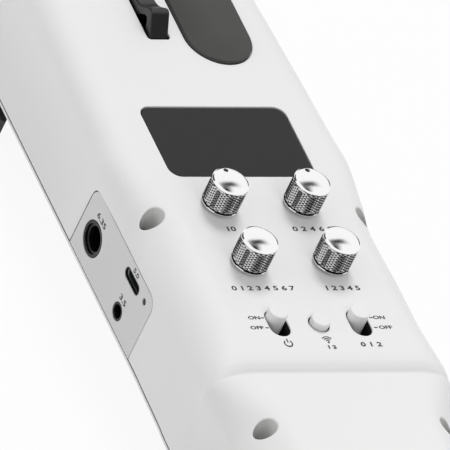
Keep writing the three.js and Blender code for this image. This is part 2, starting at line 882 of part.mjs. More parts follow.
function usbPort() {
  const faceX = -seamHalfWidth + noseSink;
  const endX = faceX + usbLength;
  const width = usbWidth - 2 * seatGap;
  const height = usbHeight - 2 * seatGap;
  const rim = height / 2 - mergeStep;
  const can = plateX(height, width, rim, usbY, usbZ, faceX, endX);
  const mouth = plateX(
    height - 2 * usbWall,
    width - 2 * usbWall,
    rim - usbWall,
    usbY,
    usbZ,
    faceX - cutOverrun,
    endX - usbFloor,
  );
  return can.subtract(mouth);
}

function jackBoard() {
  const x0 = -seamHalfWidth + noseSink + usbLength + seatGap;
  const topZ = usbZ + usbHeight;
  return block(x0, x0 + boardThick, jackBoardBottomY, jackBoardTopY, topZ - jackBoardHeight, topZ);
}

// Display window and the display module behind it
function displayWindow() {
  return plateZ(
    windowWidth,
    windowLength,
    windowCorner,
    0,
    windowMidY,
    -windowSink - windowThick,
    -windowSink,
  );
}

function displayModule() {
  const topZ = insideZ - seatGap;
  const x = displayWidth / 2;
  const y = displayLength / 2;
  return block(-x, x, windowMidY - y, windowMidY + y, -boardGapZ, topZ);
}

function mainBoard() {
  const half = mainBoardWidth / 2;
  return block(
    -half,
    half,
    mainBoardBottomY,
    mainBoardTopY,
    boardTopZ - boardThick,
    boardTopZ,
  );
}

// Knob with its shaft, as one turned piece about its own axis
function knob() {
  const top = knobLift + knobHeight;
  const foot = insideZ - seatGap - knobShaftReach;
  const profile = [
    [0, foot],
    [knobShaftRadius, foot],
    [knobShaftRadius, knobLift],
    [knobRadius, knobLift],
    [knobRadius, top - knobCrown - knobRim],
    [knobRadius - knobRim, top - knobCrown],
    [0, top],
  ].map(([r, z]) => new THREE.Vector2(r, z));
  return solid(new THREE.LatheGeometry(profile, 20).rotateX(Math.PI / 2));
}

function encoder(x, y) {
  const half = encoderWidth / 2;
  const topZ = insideZ - seatGap;
  const can = block(x - half, x + half, y - half, y + half, -boardGapZ, topZ);
  const bore = knobShaftRadius + hingeGap;
  return can.subtract(barZ(bore, x, y, topZ - knobShaftReach - 2 * seatGap, topZ + cutOverrun));
}

// Slide switches: a round cap that runs in the slot of its switch body
function slideCap(x) {
  return barZ(slideCapRadius, x, slideTopY, -slideCapReach, slideCapProud);
}

function slideBody(x) {
  const midY = slideTopY - slideTravel / 2;
  const half = slideBodyWidth / 2;
  const topZ = insideZ - seatGap;
  const can = block(
    x - half,
    x + half,
    midY - slideBodyLength / 2,
    midY + slideBodyLength / 2,
    -boardGapZ,
    topZ,
  );
  const slot = stadium(
    slideSlotRadius,
    x,
    slideTopY - slideTravel,
    slideTopY,
    -boardGapZ + slideBodyFloor,
    topZ + cutOverrun,
  );
  return can.subtract(slot);
}

// Centre button, held under the face by its flange, and the switch below it
const switchTopZ = -boardGapZ + switchHeight;
function centreButton() {
  const flangeZ = insideZ - seatGap;
  const footZ = switchTopZ + buttonTravel + seatGap;
  return join(
    barZ(buttonRadius, 0, buttonY, flangeZ - buttonFlangeThick / 2, buttonProud),
    barZ(buttonFlangeRadius, 0, buttonY, flangeZ - buttonFlangeThick, flangeZ),
    barZ(buttonFootRadius, 0, buttonY, footZ, flangeZ - buttonFlangeThick / 2, 12),
  );
}

function buttonSwitch() {
  const half = switchWidth / 2;
  return block(-half, half, buttonY - half, buttonY + half, -boardGapZ, switchTopZ);
}

// Battery pack on the front shell's floor
function batteryPack() {
  const z0 = frontZ + shellWall + seatGap;
  const shape = roundedRectangle(batteryWidth, batteryHeight, batteryCorner);
  const pack = new THREE.ExtrudeGeometry(shape, {
    depth: batteryLength,
    bevelEnabled: false,
    curveSegments: 5,
  });
  pack.rotateX(Math.PI / 2);
  const topY = bodyBottomY + batteryEndGap + batteryLength;
  return solid(pack.translate(0, topY, z0 + batteryHeight / 2));
}

// Case screw: head in the well, shank down into the front shell's post
function caseScrew(well) {
  const headZ = wellFloorZ(well) + seatGap;
  const topZ = headZ + screwHeadHeight;
  const half = screwDriveWidth / 2;
  const slot = (a, b) =>
    block(well.x - a, well.x + a, well.y - b, well.y + b, topZ - screwDriveDepth, topZ + cutOverrun);
  const arm = screwHeadRadius - screwDriveWidth / 2;
  return cut(
    join(
      barZ(screwHeadRadius, well.x, well.y, headZ, topZ, 16),
      barZ(screwShankRadius, well.x, well.y, frontZ + shellWall, headZ + seatGap, 8),
    ),
    slot(arm, half),
    slot(half, arm),
  );
}

// Thumb pad: a long soft pad let into the face
function thumbPad() {
  const shape = roundedRectangle(
    2 * (padRadius - padBevel),
    padUpperY - padLowerY + 2 * (padRadius - padBevel),
    padRadius - padBevel - mergeStep,
  );
  const bottomZ = -recess + seatGap;
  const pad = new THREE.ExtrudeGeometry(shape, {
    depth: padHeight - bottomZ - 2 * padBevel,
    bevelThickness: padBevel,
    bevelSize: padBevel,
    bevelSegments: 1,
    curveSegments: 5,
  });
  return solid(pad.translate(padX, (padLowerY + padUpperY) / 2, bottomZ + padBevel));
}

// Thumb lever: a bent plate on a hub; each end leans back from its foot to a crest, with a
// saddle between the crests
function thumbLever() {
  const end = leverHalfLength;
  const lean = (leverHalfLength - leverCrestReach) / (leverCrestHeight - leverFoot);
  const under = (side) => [
    [side * leverHubRadius, leverFoot],
    [side * leverWaistReach, leverFoot],
    [side * leverArchReach, leverArchHeight],
    [side * (end - leverFootLength), leverFoot],
    [side * end, leverFoot],
  ];
  const crest = (side) => [
    [side * (leverCrestReach + lean * leverCrestRound), leverCrestHeight - leverCrestRound],
    [side * leverCrestReach, leverCrestHeight],
    [side * (leverCrestReach - leverCrestRound), leverCrestHeight - leverCrestRound / 2],
  ];
  const shape = new THREE.Shape();
  shape.moveTo(-leverHubRadius, leverPivotZ);
  shape.absarc(0, leverPivotZ, leverHubRadius, Math.PI, 2 * Math.PI);
  for (const [s, z] of under(1)) shape.lineTo(s, z);
  const [up, top, down] = crest(1);
  const [far, farTop, near] = crest(-1);
  shape.lineTo(...up);
  shape.quadraticCurveTo(...top, ...down);
  shape.bezierCurveTo(
    leverSaddlePull,
    leverSaddleHeight,
    leverSaddlePull,
    leverSaddleHeight,
    0,
    leverSaddleHeight,
  );
  shape.bezierCurveTo(
    -leverSaddlePull,
    leverSaddleHeight,
    -leverSaddlePull,
    leverSaddleHeight,
    ...near,
  );
  shape.quadraticCurveTo(...farTop, ...far);
  for (const [s, z] of under(-1).reverse()) shape.lineTo(s, z);
  const lever = new THREE.ExtrudeGeometry(shape, {
    depth: leverWidth,
    bevelEnabled: false,
    curveSegments: 8,
  });
  lever.rotateX(Math.PI / 2).rotateZ(Math.PI / 2);
  lever.translate(leverX - leverWidth / 2, leverMidY, 0);
  const bore = barX(
    leverPinRadius + hingeGap,
    leverMidY,
    leverPivotZ,
    leverX - leverWidth,
    leverX + leverWidth,
    12,
  );
  return solid(lever).subtract(bore);
}

function leverPin() {
  const reach = leverWidth / 2 + leverSideGap + seatGap + leverRibThick;
  return barX(leverPinRadius, leverMidY, leverPivotZ, leverX - reach, leverX + reach, 12);
}

// Left thumb rest, let into the face
function thumbRest() {
  const bottomZ = -recess + seatGap;
  const profile = [
    [0, bottomZ],
    [restRadius, bottomZ],
    [restRadius, restHeight - padBevel],
    [restRadius - padBevel, restHeight],
    [restRadius / 2, restHeight - recess / 2],
    [0, restHeight - recess],
  ].map(([r, z]) => new THREE.Vector2(r, z));
  const turned = new THREE.LatheGeometry(profile, 28).rotateX(Math.PI / 2);
  return solid(turned.translate(0, restY, 0));
}

// Octave key: a paddle on a hub; its tip points at the thumb rest
function octaveKey({ side, y }) {
  const half = octaveWidth / 2;
  const shape = roundedRectangle(octaveWidth, octaveReach - octaveHubRadius, octaveTipRound);
  const paddle = new THREE.ExtrudeGeometry(shape, {
    depth: octaveThick,
    bevelEnabled: false,
    curveSegments: 4,
  });
  const midY = y - side * (octaveReach + octaveHubRadius + 2 * seatGap) / 2;
  const neckX = octaveHubWidth / 2;
  const hub = barX(octaveHubRadius, y, octaveAxleZ, -neckX, neckX);
  const arm = block(
    -neckX,
    neckX,
    Math.min(y, midY),
    Math.max(y, midY),
    octaveAxleZ - octaveThick / 2,
    octaveAxleZ + octaveThick / 2,
  );
  const bore = barX(octavePinRadius + hingeGap, y, octaveAxleZ, -half, half, 12);
  return join(solid(paddle.translate(0, midY, octaveLift)), arm, hub).subtract(bore);
}

function octavePin({ y }) {
  const reach = octaveHubWidth / 2 + seatGap + octaveEarThick;
  return barX(octavePinRadius, y, octaveAxleZ, -reach, reach, 12);
}

// Strap ring on its plate
function strapRing() {
  const bottomZ = -recess + seatGap;
  const plateTop = bottomZ + strapPlateThick;
  const plate = plateZ(
    strapPlateWidth,
    strapPlateLength,
    strapPlateCorner,
    0,
    strapY,
    bottomZ,
    plateTop,
  );
  const ringZ = plateTop + strapInnerRadius;
  const half = strapThick / 2;
  const ring = barX(strapOuterRadius, strapY, ringZ, -half, half, 24);
  const hole = barX(strapInnerRadius, strapY, ringZ, -strapThick, strapThick, 20);
  const above = block(
    -half,
    half,
    strapY - strapOuterRadius,
    strapY + strapOuterRadius,
    bottomZ,
    ringZ + strapOuterRadius,
  );
  return join(plate, ring.intersect(above).subtract(hole));
}

// Finger keys: hub on the rod, arm, and a cup or a paddle; the bottom side faces down
const keyTopZ = frontZ - keyGap;
const keyBottomZ = keyTopZ - keyThick;
function keyHub(y, reachX) {
  const hub = barY(keyHubRadius, keyRodX, keyRodZ, y - keyHubHalf, y + keyHubHalf);
  const half = keyArmWidth / 2;
  return join(hub, block(reachX, keyRodX, y - half, y + half, keyBottomZ, keyTopZ));
}

function keyBore(y) {
  return barY(
    keyRodRadius + hingeGap,
    keyRodX,
    keyRodZ,
    y - 2 * keyHubHalf,
    y + 2 * keyHubHalf,
    8,
  );
}

function roundKey(y) {
  const cup = barZ(keyCupRadius, 0, y, keyBottomZ, keyTopZ, 18);
  const dish = barZ(keyDishRadius, 0, y, keyBottomZ - cutOverrun, keyBottomZ + keyDish);
  return cut(join(cup, keyHub(y, keyDishRadius)), dish, keyBore(y));
}

function littleKey(y) {
  const paddle = plateZ(
    littleKeyWidth,
    littleKeyLength,
    littleKeyCorner,
    littleKeyX,
    y,
    keyBottomZ,
    keyTopZ,
  );
  return cut(join(paddle, keyHub(y, littleKeyX)), keyBore(y));
}

function sideKey(key) {
  const rodX = sideRodX(key);
  const outer = key.side * bodyAt(key.y + sideKeyLength / 2).seam * sideKeyShareOut;
  const inner = rodX + key.side * (keyHubRadius - seatGap);
  const topZ = frontZ - sideKeyGap + seatGap;
  const bottomZ = topZ - sideKeyHeight;
  const paddle = plateZ(
    Math.abs(outer - inner),
    sideKeyLength,
    sideKeyCorner,
    (outer + inner) / 2,
    key.y,
    bottomZ,
    topZ,
  );
  const hub = barY(keyHubRadius, rodX, keyRodZ, key.y - sideHubHalf, key.y + sideHubHalf);
  const bore = barY(
    keyRodRadius + hingeGap,
    rodX,
    keyRodZ,
    key.y - sideKeyLength,
    key.y + sideKeyLength,
    8,
  );
  const arm = block(
    Math.min(rodX, (outer + inner) / 2),
    Math.max(rodX, (outer + inner) / 2),
    key.y - sideHubHalf,
    key.y + sideHubHalf,
    bottomZ,
    keyRodZ + keyRodRadius,
  );
  const tip = new THREE.Shape();
  const endY = key.y - sideKeyLength / 2;
  const tipX = outer - key.side * sideKeyTip;
  tip.moveTo(tipX, endY - cutOverrun);
  tip.lineTo(inner - key.side * cutOverrun, endY - cutOverrun);
  tip.lineTo(inner - key.side * cutOverrun, endY + sideKeyTaper);
  tip.lineTo(inner, endY + sideKeyTaper);
  tip.quadraticCurveTo((inner + tipX) / 2, endY + sideKeyTaper / 2, tipX, endY);
  const past = new THREE.ExtrudeGeometry(tip, {
    depth: sideKeyHeight + 2 * cutOverrun,
    bevelEnabled: false,
    curveSegments: 3,
  });
  const taper = solid(past.translate(0, 0, bottomZ - cutOverrun));
  const postRoom = [-1, 1].map((end) => {
    const y = key.y + end * sideRodReach;
    const half = rodPostThick / 2 + seatGap;
    return block(
      rodX - rodPostWidth / 2 - seatGap,
      rodX + rodPostWidth / 2 + seatGap,
      y - half,
      y + half,
      bottomZ - cutOverrun,
      frontZ,
    );
  });
  return cut(join(paddle.subtract(taper), hub, arm), bore, ...postRoom);
}

// Rest bar: a soft bridge on two pads
function restBar(y, width) {
  const half = width / 2;
  const pad = width * restBarPadShare;
  const top = frontZ - seatGap;
  const shape = new THREE.Shape();
  shape.moveTo(-half, top);
  shape.lineTo(restBarTaper - half, floorZ);
  shape.lineTo(pad - half, floorZ);
  shape.lineTo(pad - half + restBarArch, floorZ + restBarArch);
  shape.lineTo(half - pad - restBarArch, floorZ + restBarArch);
  shape.lineTo(half - pad, floorZ);
  shape.lineTo(half - restBarTaper, floorZ);
  shape.lineTo(half, top);
  const bar = new THREE.ExtrudeGeometry(shape, { depth: restBarLength, bevelEnabled: false });
  return solid(bar.rotateX(Math.PI / 2).translate(0, y + restBarLength / 2, 0));
}

// The neck's centre line: straight, one bend towards the player, straight again
const collarTopY = upperLength + seatGap + collarLength;
const bendStart = new THREE.Vector3(0, upperLength + neckStraight, neckZ);
const bendEnd = bendStart
  .clone()
  .add(
    new THREE.Vector3(
      0,
      neckBendRadius * Math.sin(neckBend),
      neckBendRadius * (1 - Math.cos(neckBend)),
    ),
  );
const mouthDirection = new THREE.Vector3(0, Math.cos(neckBend), Math.sin(neckBend));
const neckTip = bendEnd.clone().addScaledVector(mouthDirection, neckTipLength);
const mouthBase = neckTip.clone().addScaledVector(mouthDirection, -mouthSocket);

// Ring of the neck at a point, square to the way it runs there
function neckRing(centre, angle, radius, sides = 16) {
  const ring = [];
  for (let i = 0; i < sides; i++) {
    const turn = (-2 * Math.PI * i) / sides;
    const up = radius * Math.sin(turn);
    ring.push(
      new THREE.Vector3(
        radius * Math.cos(turn),
        centre.y - up * Math.sin(angle),
        centre.z + up * Math.cos(angle),
      ),
    );
  }
  return ring;
}

function neck() {
  const steps = 5;
  const rings = [neckRing(new THREE.Vector3(0, upperLength + seatGap, neckZ), 0, neckRadius)];
  for (let i = 0; i <= steps; i++) {
    const angle = (neckBend * i) / steps;
    const centre = bendStart
      .clone()
      .add(
        new THREE.Vector3(
          0,
          neckBendRadius * Math.sin(angle),
          neckBendRadius * (1 - Math.cos(angle)),
        ),
      );
    rings.push(neckRing(centre, angle, neckRadius + (neckTipRadius - neckRadius) * (i / steps)));
  }
  rings.push(neckRing(neckTip, neckBend, neckTipRadius));
  const tenon = barY(
    neckTenonRadius,
    0,
    neckZ,
    upperLength - neckTenonLength,
    upperLength + 2 * seatGap,
    16,
  );
  return join(loft(rings), tenon);
}

function neckCollar() {
  const y0 = upperLength + seatGap;
  const bore = neckRadius + seatGap;
  const profile = [
    [bore, y0],
    [collarRadius, y0],
    [collarRadius, collarTopY - collarBevel],
    [collarRadius - collarBevel, collarTopY],
    [bore, collarTopY],
    [bore, y0],
  ].map(([r, y]) => new THREE.Vector2(r, y));
  return solid(new THREE.LatheGeometry(profile, 28).translate(0, 0, neckZ));
}

// Mouthpiece: round at the neck, a flat beak at the tip, with the reed under it.
// Shares: place along its length, then half width, top and underside of its radius.
const mouthShares = [
  [0, 1, 1, 1],
  [0.3, 1, 1, 1],
  [0.42, 0.98, 0.9, 0.8],
  [0.7, 0.82, 0.55, 0.62],
  [0.92, 0.68, 0.2, 0.42],
  [1, 0.62, 0.1, 0.36],
];
const reedAngle = THREE.MathUtils.degToRad(3);
const reedTop = -mouthRadius * mouthShares.at(-1)[3];

function mouthRing(row, sides = 16) {
  const [along, wideShare, topShare, underShare] = row;
  const centre = mouthBase.clone().addScaledVector(mouthDirection, along * mouthLength);
  const ring = [];
  for (let i = 0; i < sides; i++) {
    const turn = (-2 * Math.PI * i) / sides;
    const share = Math.sin(turn) > 0 ? topShare : underShare;
    const across = mouthRadius * wideShare * Math.cos(turn);
    const up = mouthRadius * share * Math.sin(turn);
    ring.push(
      new THREE.Vector3(
        across,
        centre.y - up * Math.sin(neckBend),
        centre.z + up * Math.cos(neckBend),
      ),
    );
  }
  return ring;
}

// A block in the mouthpiece's own directions: along it from its base, and below its axis
function mouthBlock(halfWidth, from, to, low, high, tilt) {
  const bar = new THREE.BoxGeometry(2 * halfWidth, to - from, high - low);
  bar.translate(0, (from + to) / 2 - to, (low + high) / 2).rotateX(tilt);
  bar.translate(0, to, 0).rotateX(neckBend);
  return solid(bar.translate(mouthBase.x, mouthBase.y, mouthBase.z));
}

function mouthpiece() {
  const beak = loft(mouthShares.map((row) => mouthRing(row)));
  const socketBore = loft([
    neckRing(
      mouthBase.clone().addScaledVector(mouthDirection, -cutOverrun),
      neckBend,
      neckTipRadius + seatGap,
    ),
    neckRing(
      neckTip.clone().addScaledVector(mouthDirection, seatGap),
      neckBend,
      neckTipRadius + seatGap,
    ),
  ]);
  const table = mouthBlock(
    mouthRadius * 2,
    mouthLength - reedLength - cutOverrun,
    mouthLength + cutOverrun,
    -mouthRadius * 2,
    reedTop,
    reedAngle,
  );
  return cut(beak, socketBore, table);
}

function reed() {
  const top = reedTop - seatGap;
  return mouthBlock(
    reedWidth / 2,
    mouthLength - reedLength,
    mouthLength - reedTipGap,
    top - reedThick,
    top,
    reedAngle,
  );
}

// Breath sensor behind the neck's tenon, with its air tube
function breathSensor() {
  const tubeY = upperLength - neckTenonLength - seatGap;
  const boxY = tubeY - airTubeLength;
  const half = sensorWidth / 2;
  const low = neckZ - sensorHeight / 2;
  const housing = block(-half, half, boxY - sensorLength, boxY, low, low + sensorHeight);
  return join(housing, barY(airTubeRadius, 0, neckZ, boxY - cutOverrun, tubeY, 12));
}

// Assembly
const controller = new THREE.Group();
const add = (name, shape, material) => controller.add(piece(name, shape, material));

add('rear_shell', rearShell(), whitePlastic);
add('front_shell', frontShell(), whitePlastic);
add('bell_cap', bellCap(), blackPlastic);
add('jack_panel', jackPanel(), whitePlastic);
add('display_window', displayWindow(), darkLens);
add('display_module', displayModule(), canGrey);
add('main_board', mainBoard(), boardGreen);
add('jack_board', jackBoard(), boardGreen);
add('battery_pack', batteryPack(), foilBlue);

for (const [name, x, y] of knobPlaces) {
  const turning = piece(name, knob(), chrome);
  turning.position.set(x, y, 0);
  controller.add(turning);
  add(name.replace('knob', 'encoder'), encoder(x, y), canGrey);
}

for (const [side, x] of [
  ['left', -slideX],
  ['right', slideX],
]) {
  add('slide_cap_' + side, slideCap(x), whitePlastic);
  add('slide_switch_' + side, slideBody(x), canGrey);
}
add('centre_button', centreButton(), whitePlastic);
add('button_switch', buttonSwitch(), canGrey);

add(
  'output_jack',
  socket(bigJackY, bigJackZ, bigJackNose, bigJackBore, bigJackBody, bigJackLength, bigJackFloor, 20),
  blackPlastic,
);
add('usb_port', usbPort(), steel);
add(
  'phones_jack',
  socket(phonesY, phonesZ, phonesNose, phonesBore, phonesBody, usbLength, phonesFloor, 16),
  blackPlastic,
);

wells.forEach((well, i) => add('case_screw_' + (i + 1), caseScrew(well), steel));
add('thumb_pad', thumbPad(), softRubber);
add('thumb_lever', thumbLever(), blackPlastic);
add('lever_pin', leverPin(), steel);
add('thumb_rest', thumbRest(), softRubber);
for (const axle of octaveAxles) {
  add(axle.name, octaveKey(axle), blackPlastic);
  add(axle.name.replace('key', 'pin'), octavePin(axle), steel);
}
add('strap_ring', strapRing(), steel);

for (const stack of stacks) {
  for (let i = 0; i < keysPerStack; i++) {
    const y = stack.y + i * keyPitch;
    const little = i < littleKeys;
    const name = stack.hand + (little ? '_little_key_' : '_key_') + (little ? i + 1 : i - 1);
    add(name, little ? littleKey(y) : roundKey(y), blackPlastic);
  }
  add(
    stack.hand + '_hand_rod',
    barY(keyRodRadius, keyRodX, keyRodZ, stack.y - rodEndReach, stackEnd(stack) + rodEndReach, 12),
    steel,
  );
}
for (const key of sideKeys) {
  add(key.name, sideKey(key), blackPlastic);
  const reach = sideRodReach + rodPostThick;
  add(
    key.name.replace('key', 'rod'),
    barY(keyRodRadius, sideRodX(key), keyRodZ, key.y - reach, key.y + reach, 12),
    steel,
  );
}

add('rest_bar_lower', restBar(bodyBottomY + restBarBellGap, restBarLowerWidth), softRubber);
add('rest_bar_upper', restBar(upperLength - restBarNeckGap, restBarUpperWidth), softRubber);
add('neck_collar', neckCollar(), chrome);
add('neck', neck(), blackPlastic);
add('mouthpiece', mouthpiece(), blackPlastic);
add('reed', reed(), softRubber);
add('breath_sensor', breathSensor(), canGrey);

const reach = new THREE.Box3().setFromObject(controller);
controller.position.set(0, -(reach.min.y + reach.max.y) / 2, -floorZ);
const part = new THREE.Group();
part.add(controller);

export default part;
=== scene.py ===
# Looks of a sax-style digital wind controller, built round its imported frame
import math
from contextlib import contextmanager

import bmesh
import bpy
from mathutils import Matrix, Vector


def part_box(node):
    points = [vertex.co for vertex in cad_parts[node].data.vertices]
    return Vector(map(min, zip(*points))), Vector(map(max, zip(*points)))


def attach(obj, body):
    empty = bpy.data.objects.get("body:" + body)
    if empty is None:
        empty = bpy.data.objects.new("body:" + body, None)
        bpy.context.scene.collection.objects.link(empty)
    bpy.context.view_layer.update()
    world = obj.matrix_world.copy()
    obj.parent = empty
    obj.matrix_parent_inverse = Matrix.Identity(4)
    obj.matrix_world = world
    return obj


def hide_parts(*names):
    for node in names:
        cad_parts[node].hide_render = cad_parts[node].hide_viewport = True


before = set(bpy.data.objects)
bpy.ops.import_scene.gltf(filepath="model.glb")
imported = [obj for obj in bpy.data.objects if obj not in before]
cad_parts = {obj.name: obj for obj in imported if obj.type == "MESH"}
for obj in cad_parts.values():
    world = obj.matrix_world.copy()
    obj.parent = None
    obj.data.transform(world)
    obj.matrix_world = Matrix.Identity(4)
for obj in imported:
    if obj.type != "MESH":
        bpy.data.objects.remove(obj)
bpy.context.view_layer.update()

bl_info = {
    "name": "Wind Controller",
    "version": (1, 0, 0),
    "blender": (4, 5, 0),
    "location": "View3D > Sidebar > Controller",
    "description": "Models and finishes a sax-style digital wind controller piece by piece",
    "category": "Object",
}

# Pieces are modelled in millimetres from the control datum on the control face, as the
# frame's own sizes are read, and then carried into the frame's metres.
MM = 0.001
WINDOW_MID_Y = 30.4
WINDOW_SINK = 0.25
window_low, window_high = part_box("display_window")
DATUM = Vector(
    (
        0.0,
        (window_low.y + window_high.y) / 2 - WINDOW_MID_Y * MM,
        window_high.z + WINDOW_SINK * MM,
    )
)
TO_FRAME = Matrix.Translation(DATUM) @ Matrix.Scale(MM, 4)

# Turns a shape drawn on the XY plane so that it stands on the left side, facing out
TO_SIDE = Matrix(((0, 0, -1, 0), (-1, 0, 0, 0), (0, 1, 0, 0), (0, 0, 0, 1)))


def corners(node):
    """Lowest and highest corner of a node of the frame, in millimetres from the datum."""
    return tuple((corner - DATUM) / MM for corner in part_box(node))


def middle_of(node):
    """Middle of a node of the frame, in millimetres from the datum."""
    return tuple((a + b) / 2 for a, b in zip(*corners(node)))


# Nodes that are alike
SCREWS = ("case_screw_1", "case_screw_2", "case_screw_3", "case_screw_4")
SLIDES = ("slide_cap_left", "slide_cap_right")
KNOBS = ("knob_upper_left", "knob_upper_right", "knob_lower_left", "knob_lower_right")
OCTAVE_KEYS = ("octave_key_upper", "octave_key_lower")
HANDS = ("right", "left")
ROUND_KEYS = tuple(f"{hand}_key_{i}" for hand in HANDS for i in (1, 2, 3))
LITTLE_KEYS = tuple(f"{hand}_little_key_{i}" for hand in HANDS for i in (1, 2))
PINS = ("lever_pin", "octave_pin_upper", "octave_pin_lower")
RODS = ("right_hand_rod", "left_hand_rod", "side_rod")

# Body sizes, in millimetres
SHELL_LOW, SHELL_HIGH = corners("rear_shell")
LOWER_LENGTH = -SHELL_LOW.y
UPPER_LENGTH = SHELL_HIGH.y
SEAM_Z = SHELL_LOW.z
SEAM_HALF_WIDTH = 35.5
FRONT_Z = SEAM_Z - 5.3
SHELL_GAP = 0.3
SHELL_WALL = 2.4
CREASE_DROP = 2.2
NECK_END_DROP = 6.0
CREASE_LENGTH = 45.03
CREASE_SHARE = 0.285
CORNER_DEPTH = 12.0
CORNER_PULL = 3.5
SIDE_BEND_PULL = 8.75
FRONT_FLAT_SHARE = 0.62
FRONT_TUCK_SHARE = 0.86
FRONT_LIP = 1.0
RIM_ROUND = 0.25
LOWER_END_ROUND = 0.4
UPPER_END_ROUND = 1.2

# How far a cutter goes past what it cuts, and how far its rounded rim stands proud of a face
OVERRUN = 1.0
PROUD = 0.003

# Seats and openings in the shells; SEAT is the gap round whatever sits in one
SEAT = 0.3
WELL_RADIUS = 2.65
WELL_LIP = 0.35
SCREW_HEAD = 1.8
SHANK_RADIUS = 0.95
SHAFT_HOLE_RADIUS = 3.4
SLOT_TRAVEL = 3.5
SLOT_RADIUS = 2.95
SLOT_SKIN = 0.45
BUTTON_HOLE_RADIUS = 2.95
WINDOW_CORNER = 3.0
PAD_RADIUS = 9.6
PLATE_CORNER = 4.0
RECESS = 0.9
SEAT_LIP = 0.15
PIN_BORE = 1.3
TENON_RADIUS = 9.5
NECK_Z = -20.5

# The jack panel and the small hole in it
PANEL_CORNER = 3.5
PANEL_X = -SEAM_HALF_WIDTH
PANEL_THICK = 1.8
PIN_HOLE = (11.9, -15.9)
PIN_HOLE_RADIUS = 0.95

# The thumb lever
LEVER_SIDE_GAP = 0.6
LEVER_END_GAP = 0.62
LEVER_HALF_LENGTH = 13.0
LEVER_SADDLE_HEIGHT = 2.1
LEVER_HUB_RADIUS = 2.7
LEVER_FOOT = 0.4
RIB_GAP = 0.9
RIB_THICK = 1.9
RIB_HALF_LENGTH = 4.5
RIB_LOW = -7.6

# The octave keys
EAR_SPAN = (4.3, 6.5)
EAR_RADIUS = 2.5
OCTAVE_BORE_END = 8
OCTAVE_REACH = 22.0
OCTAVE_HUB_RADIUS = 2.5
OCTAVE_ARM = 4

# The keys under the front shell and the posts of their rods
ROD_BORE = 1.8
KEY_HUB_RADIUS = 2.7
KEY_GAP = 3.5
POST_RADIUS = 3.2
POST_HALF = 1.8
SIDE_POST_PITCH = 9
CUP_RADIUS = 9.0
DISH_RADIUS = 7.1

# The neck, its collar, the mouthpiece and the reed
NECK_RADIUS = 11.0
NECK_TIP_RADIUS = 8.0
NECK_STRAIGHT = 20.0
NECK_BEND_RADIUS = 60.0
NECK_BEND = math.radians(35)
NECK_BEND_END = NECK_STRAIGHT + NECK_BEND_RADIUS * NECK_BEND
NECK_LENGTH = NECK_BEND_END + 22.0
COLLAR_RIBS = 40
MOUTH_LENGTH = 64.0
MOUTH_RADIUS = 12.2
MOUTH_SOCKET = 16.0
REED_ANGLE = math.radians(3)
REED_LENGTH = 42.0
REED_THICK = 1.6

# Along the mouthpiece: place, then half width, top and underside as parts of its radius
MOUTH_SHARES = (
    (0.0, 1.0, 1.0, 1.0),
    (0.3, 1.0, 1.0, 1.0),
    (0.42, 0.98, 0.9, 0.8),
    (0.7, 0.82, 0.55, 0.62),
    (0.92, 0.68, 0.2, 0.42),
    (1.0, 0.62, 0.1, 0.36),
)
REED_TABLE = -MOUTH_RADIUS * MOUTH_SHARES[-1][3]

# Along the body: place, crown drop, flat, corner, side, lean, seam
STATION_SHARES = (
    (-1.0, 1.0, 0.451, 0.563, 0.845, 0.011, 1.003),
    (-0.797, 1.0, 0.507, 0.583, 0.873, 0.011, 1.037),
    (-0.582, 1.0, 0.549, 0.68, 0.89, 0.011, 1.048),
    (-0.43, 1.0, 0.563, 0.73, 0.91, 0.011, 1.042),
    (-0.37, 1.0, 0.592, 0.92, 0.96, 0.014, 1.037),
    (-0.339, 1.0, 0.62, 1.04, 0.985, 0.017, 1.034),
    (-0.3235, 1.0, 0.637, 1.09, 0.997, 0.017, 1.031),
    (-0.318, 0.72, 0.645, 1.07, 0.999, 0.014, 1.028),
    (-0.304, 0.25, 0.656, 1.03, 0.999, 0.011, 1.025),
    (-0.285, 0.06, 0.67, 0.993, 0.997, 0.008, 1.023),
    (-0.253, 0.0, 0.68, 0.945, 0.997, 0.006, 1.014),
    (-0.2, 0.0, 0.68, 0.905, 1.0, 0.0, 1.008),
    (-0.12, 0.0, 0.676, 0.907, 1.0, 0.0, 1.0),
    (0.0, 0.0, 0.676, 0.868, 1.0, 0.0, 1.0),
    (0.035, 0.0, 0.704, 1.0, 1.0, 0.0, 1.0),
    (0.08, 0.0, 0.761, 1.075, 1.008, 0.017, 1.0),
    (0.109, 0.0, 0.746, 1.05, 0.98, 0.028, 1.0),
    (0.155, 0.0, 0.704, 1.05, 0.95, 0.034, 1.0),
    (0.209, 0.0, 0.676, 1.02, 0.93, 0.034, 1.0),
    (0.3, 0.0, 0.62, 0.96, 0.905, 0.034, 0.994),
    (0.4, 0.0, 0.577, 0.93, 0.87, 0.028, 0.972),
    (0.521, 0.0, 0.535, 0.842, 0.803, 0.025, 0.93),
    (0.7, 0.0, 0.479, 0.769, 0.741, 0.023, 0.859),
    (0.861, 0.0, 0.423, 0.679, 0.668, 0.017, 0.775),
    (0.95, 0.0, 0.352, 0.586, 0.592, 0.011, 0.699),
    (1.0, 1.0, 0.225, 0.423, 0.493, 0.006, 0.6),
)


def station_y(row):
    place = row[0]
    if place >= 0:
        return place * UPPER_LENGTH
    if place >= -CREASE_SHARE:
        return place / CREASE_SHARE * CREASE_LENGTH
    past = (-place - CREASE_SHARE) / (1 - CREASE_SHARE)
    return -CREASE_LENGTH - past * (LOWER_LENGTH - CREASE_LENGTH)


def station_sizes(row):
    drop = CREASE_DROP if row[0] < 0 else NECK_END_DROP
    return [row[1] * drop] + [share * SEAM_HALF_WIDTH for share in row[2:]]


STATIONS = [(station_y(row), station_sizes(row)) for row in STATION_SHARES]


def eased_slope(before, after):
    """The slope at a station, level where the two sides of it disagree."""
    return 2 * before * after / (before + after) if before * after > 0 else 0.0


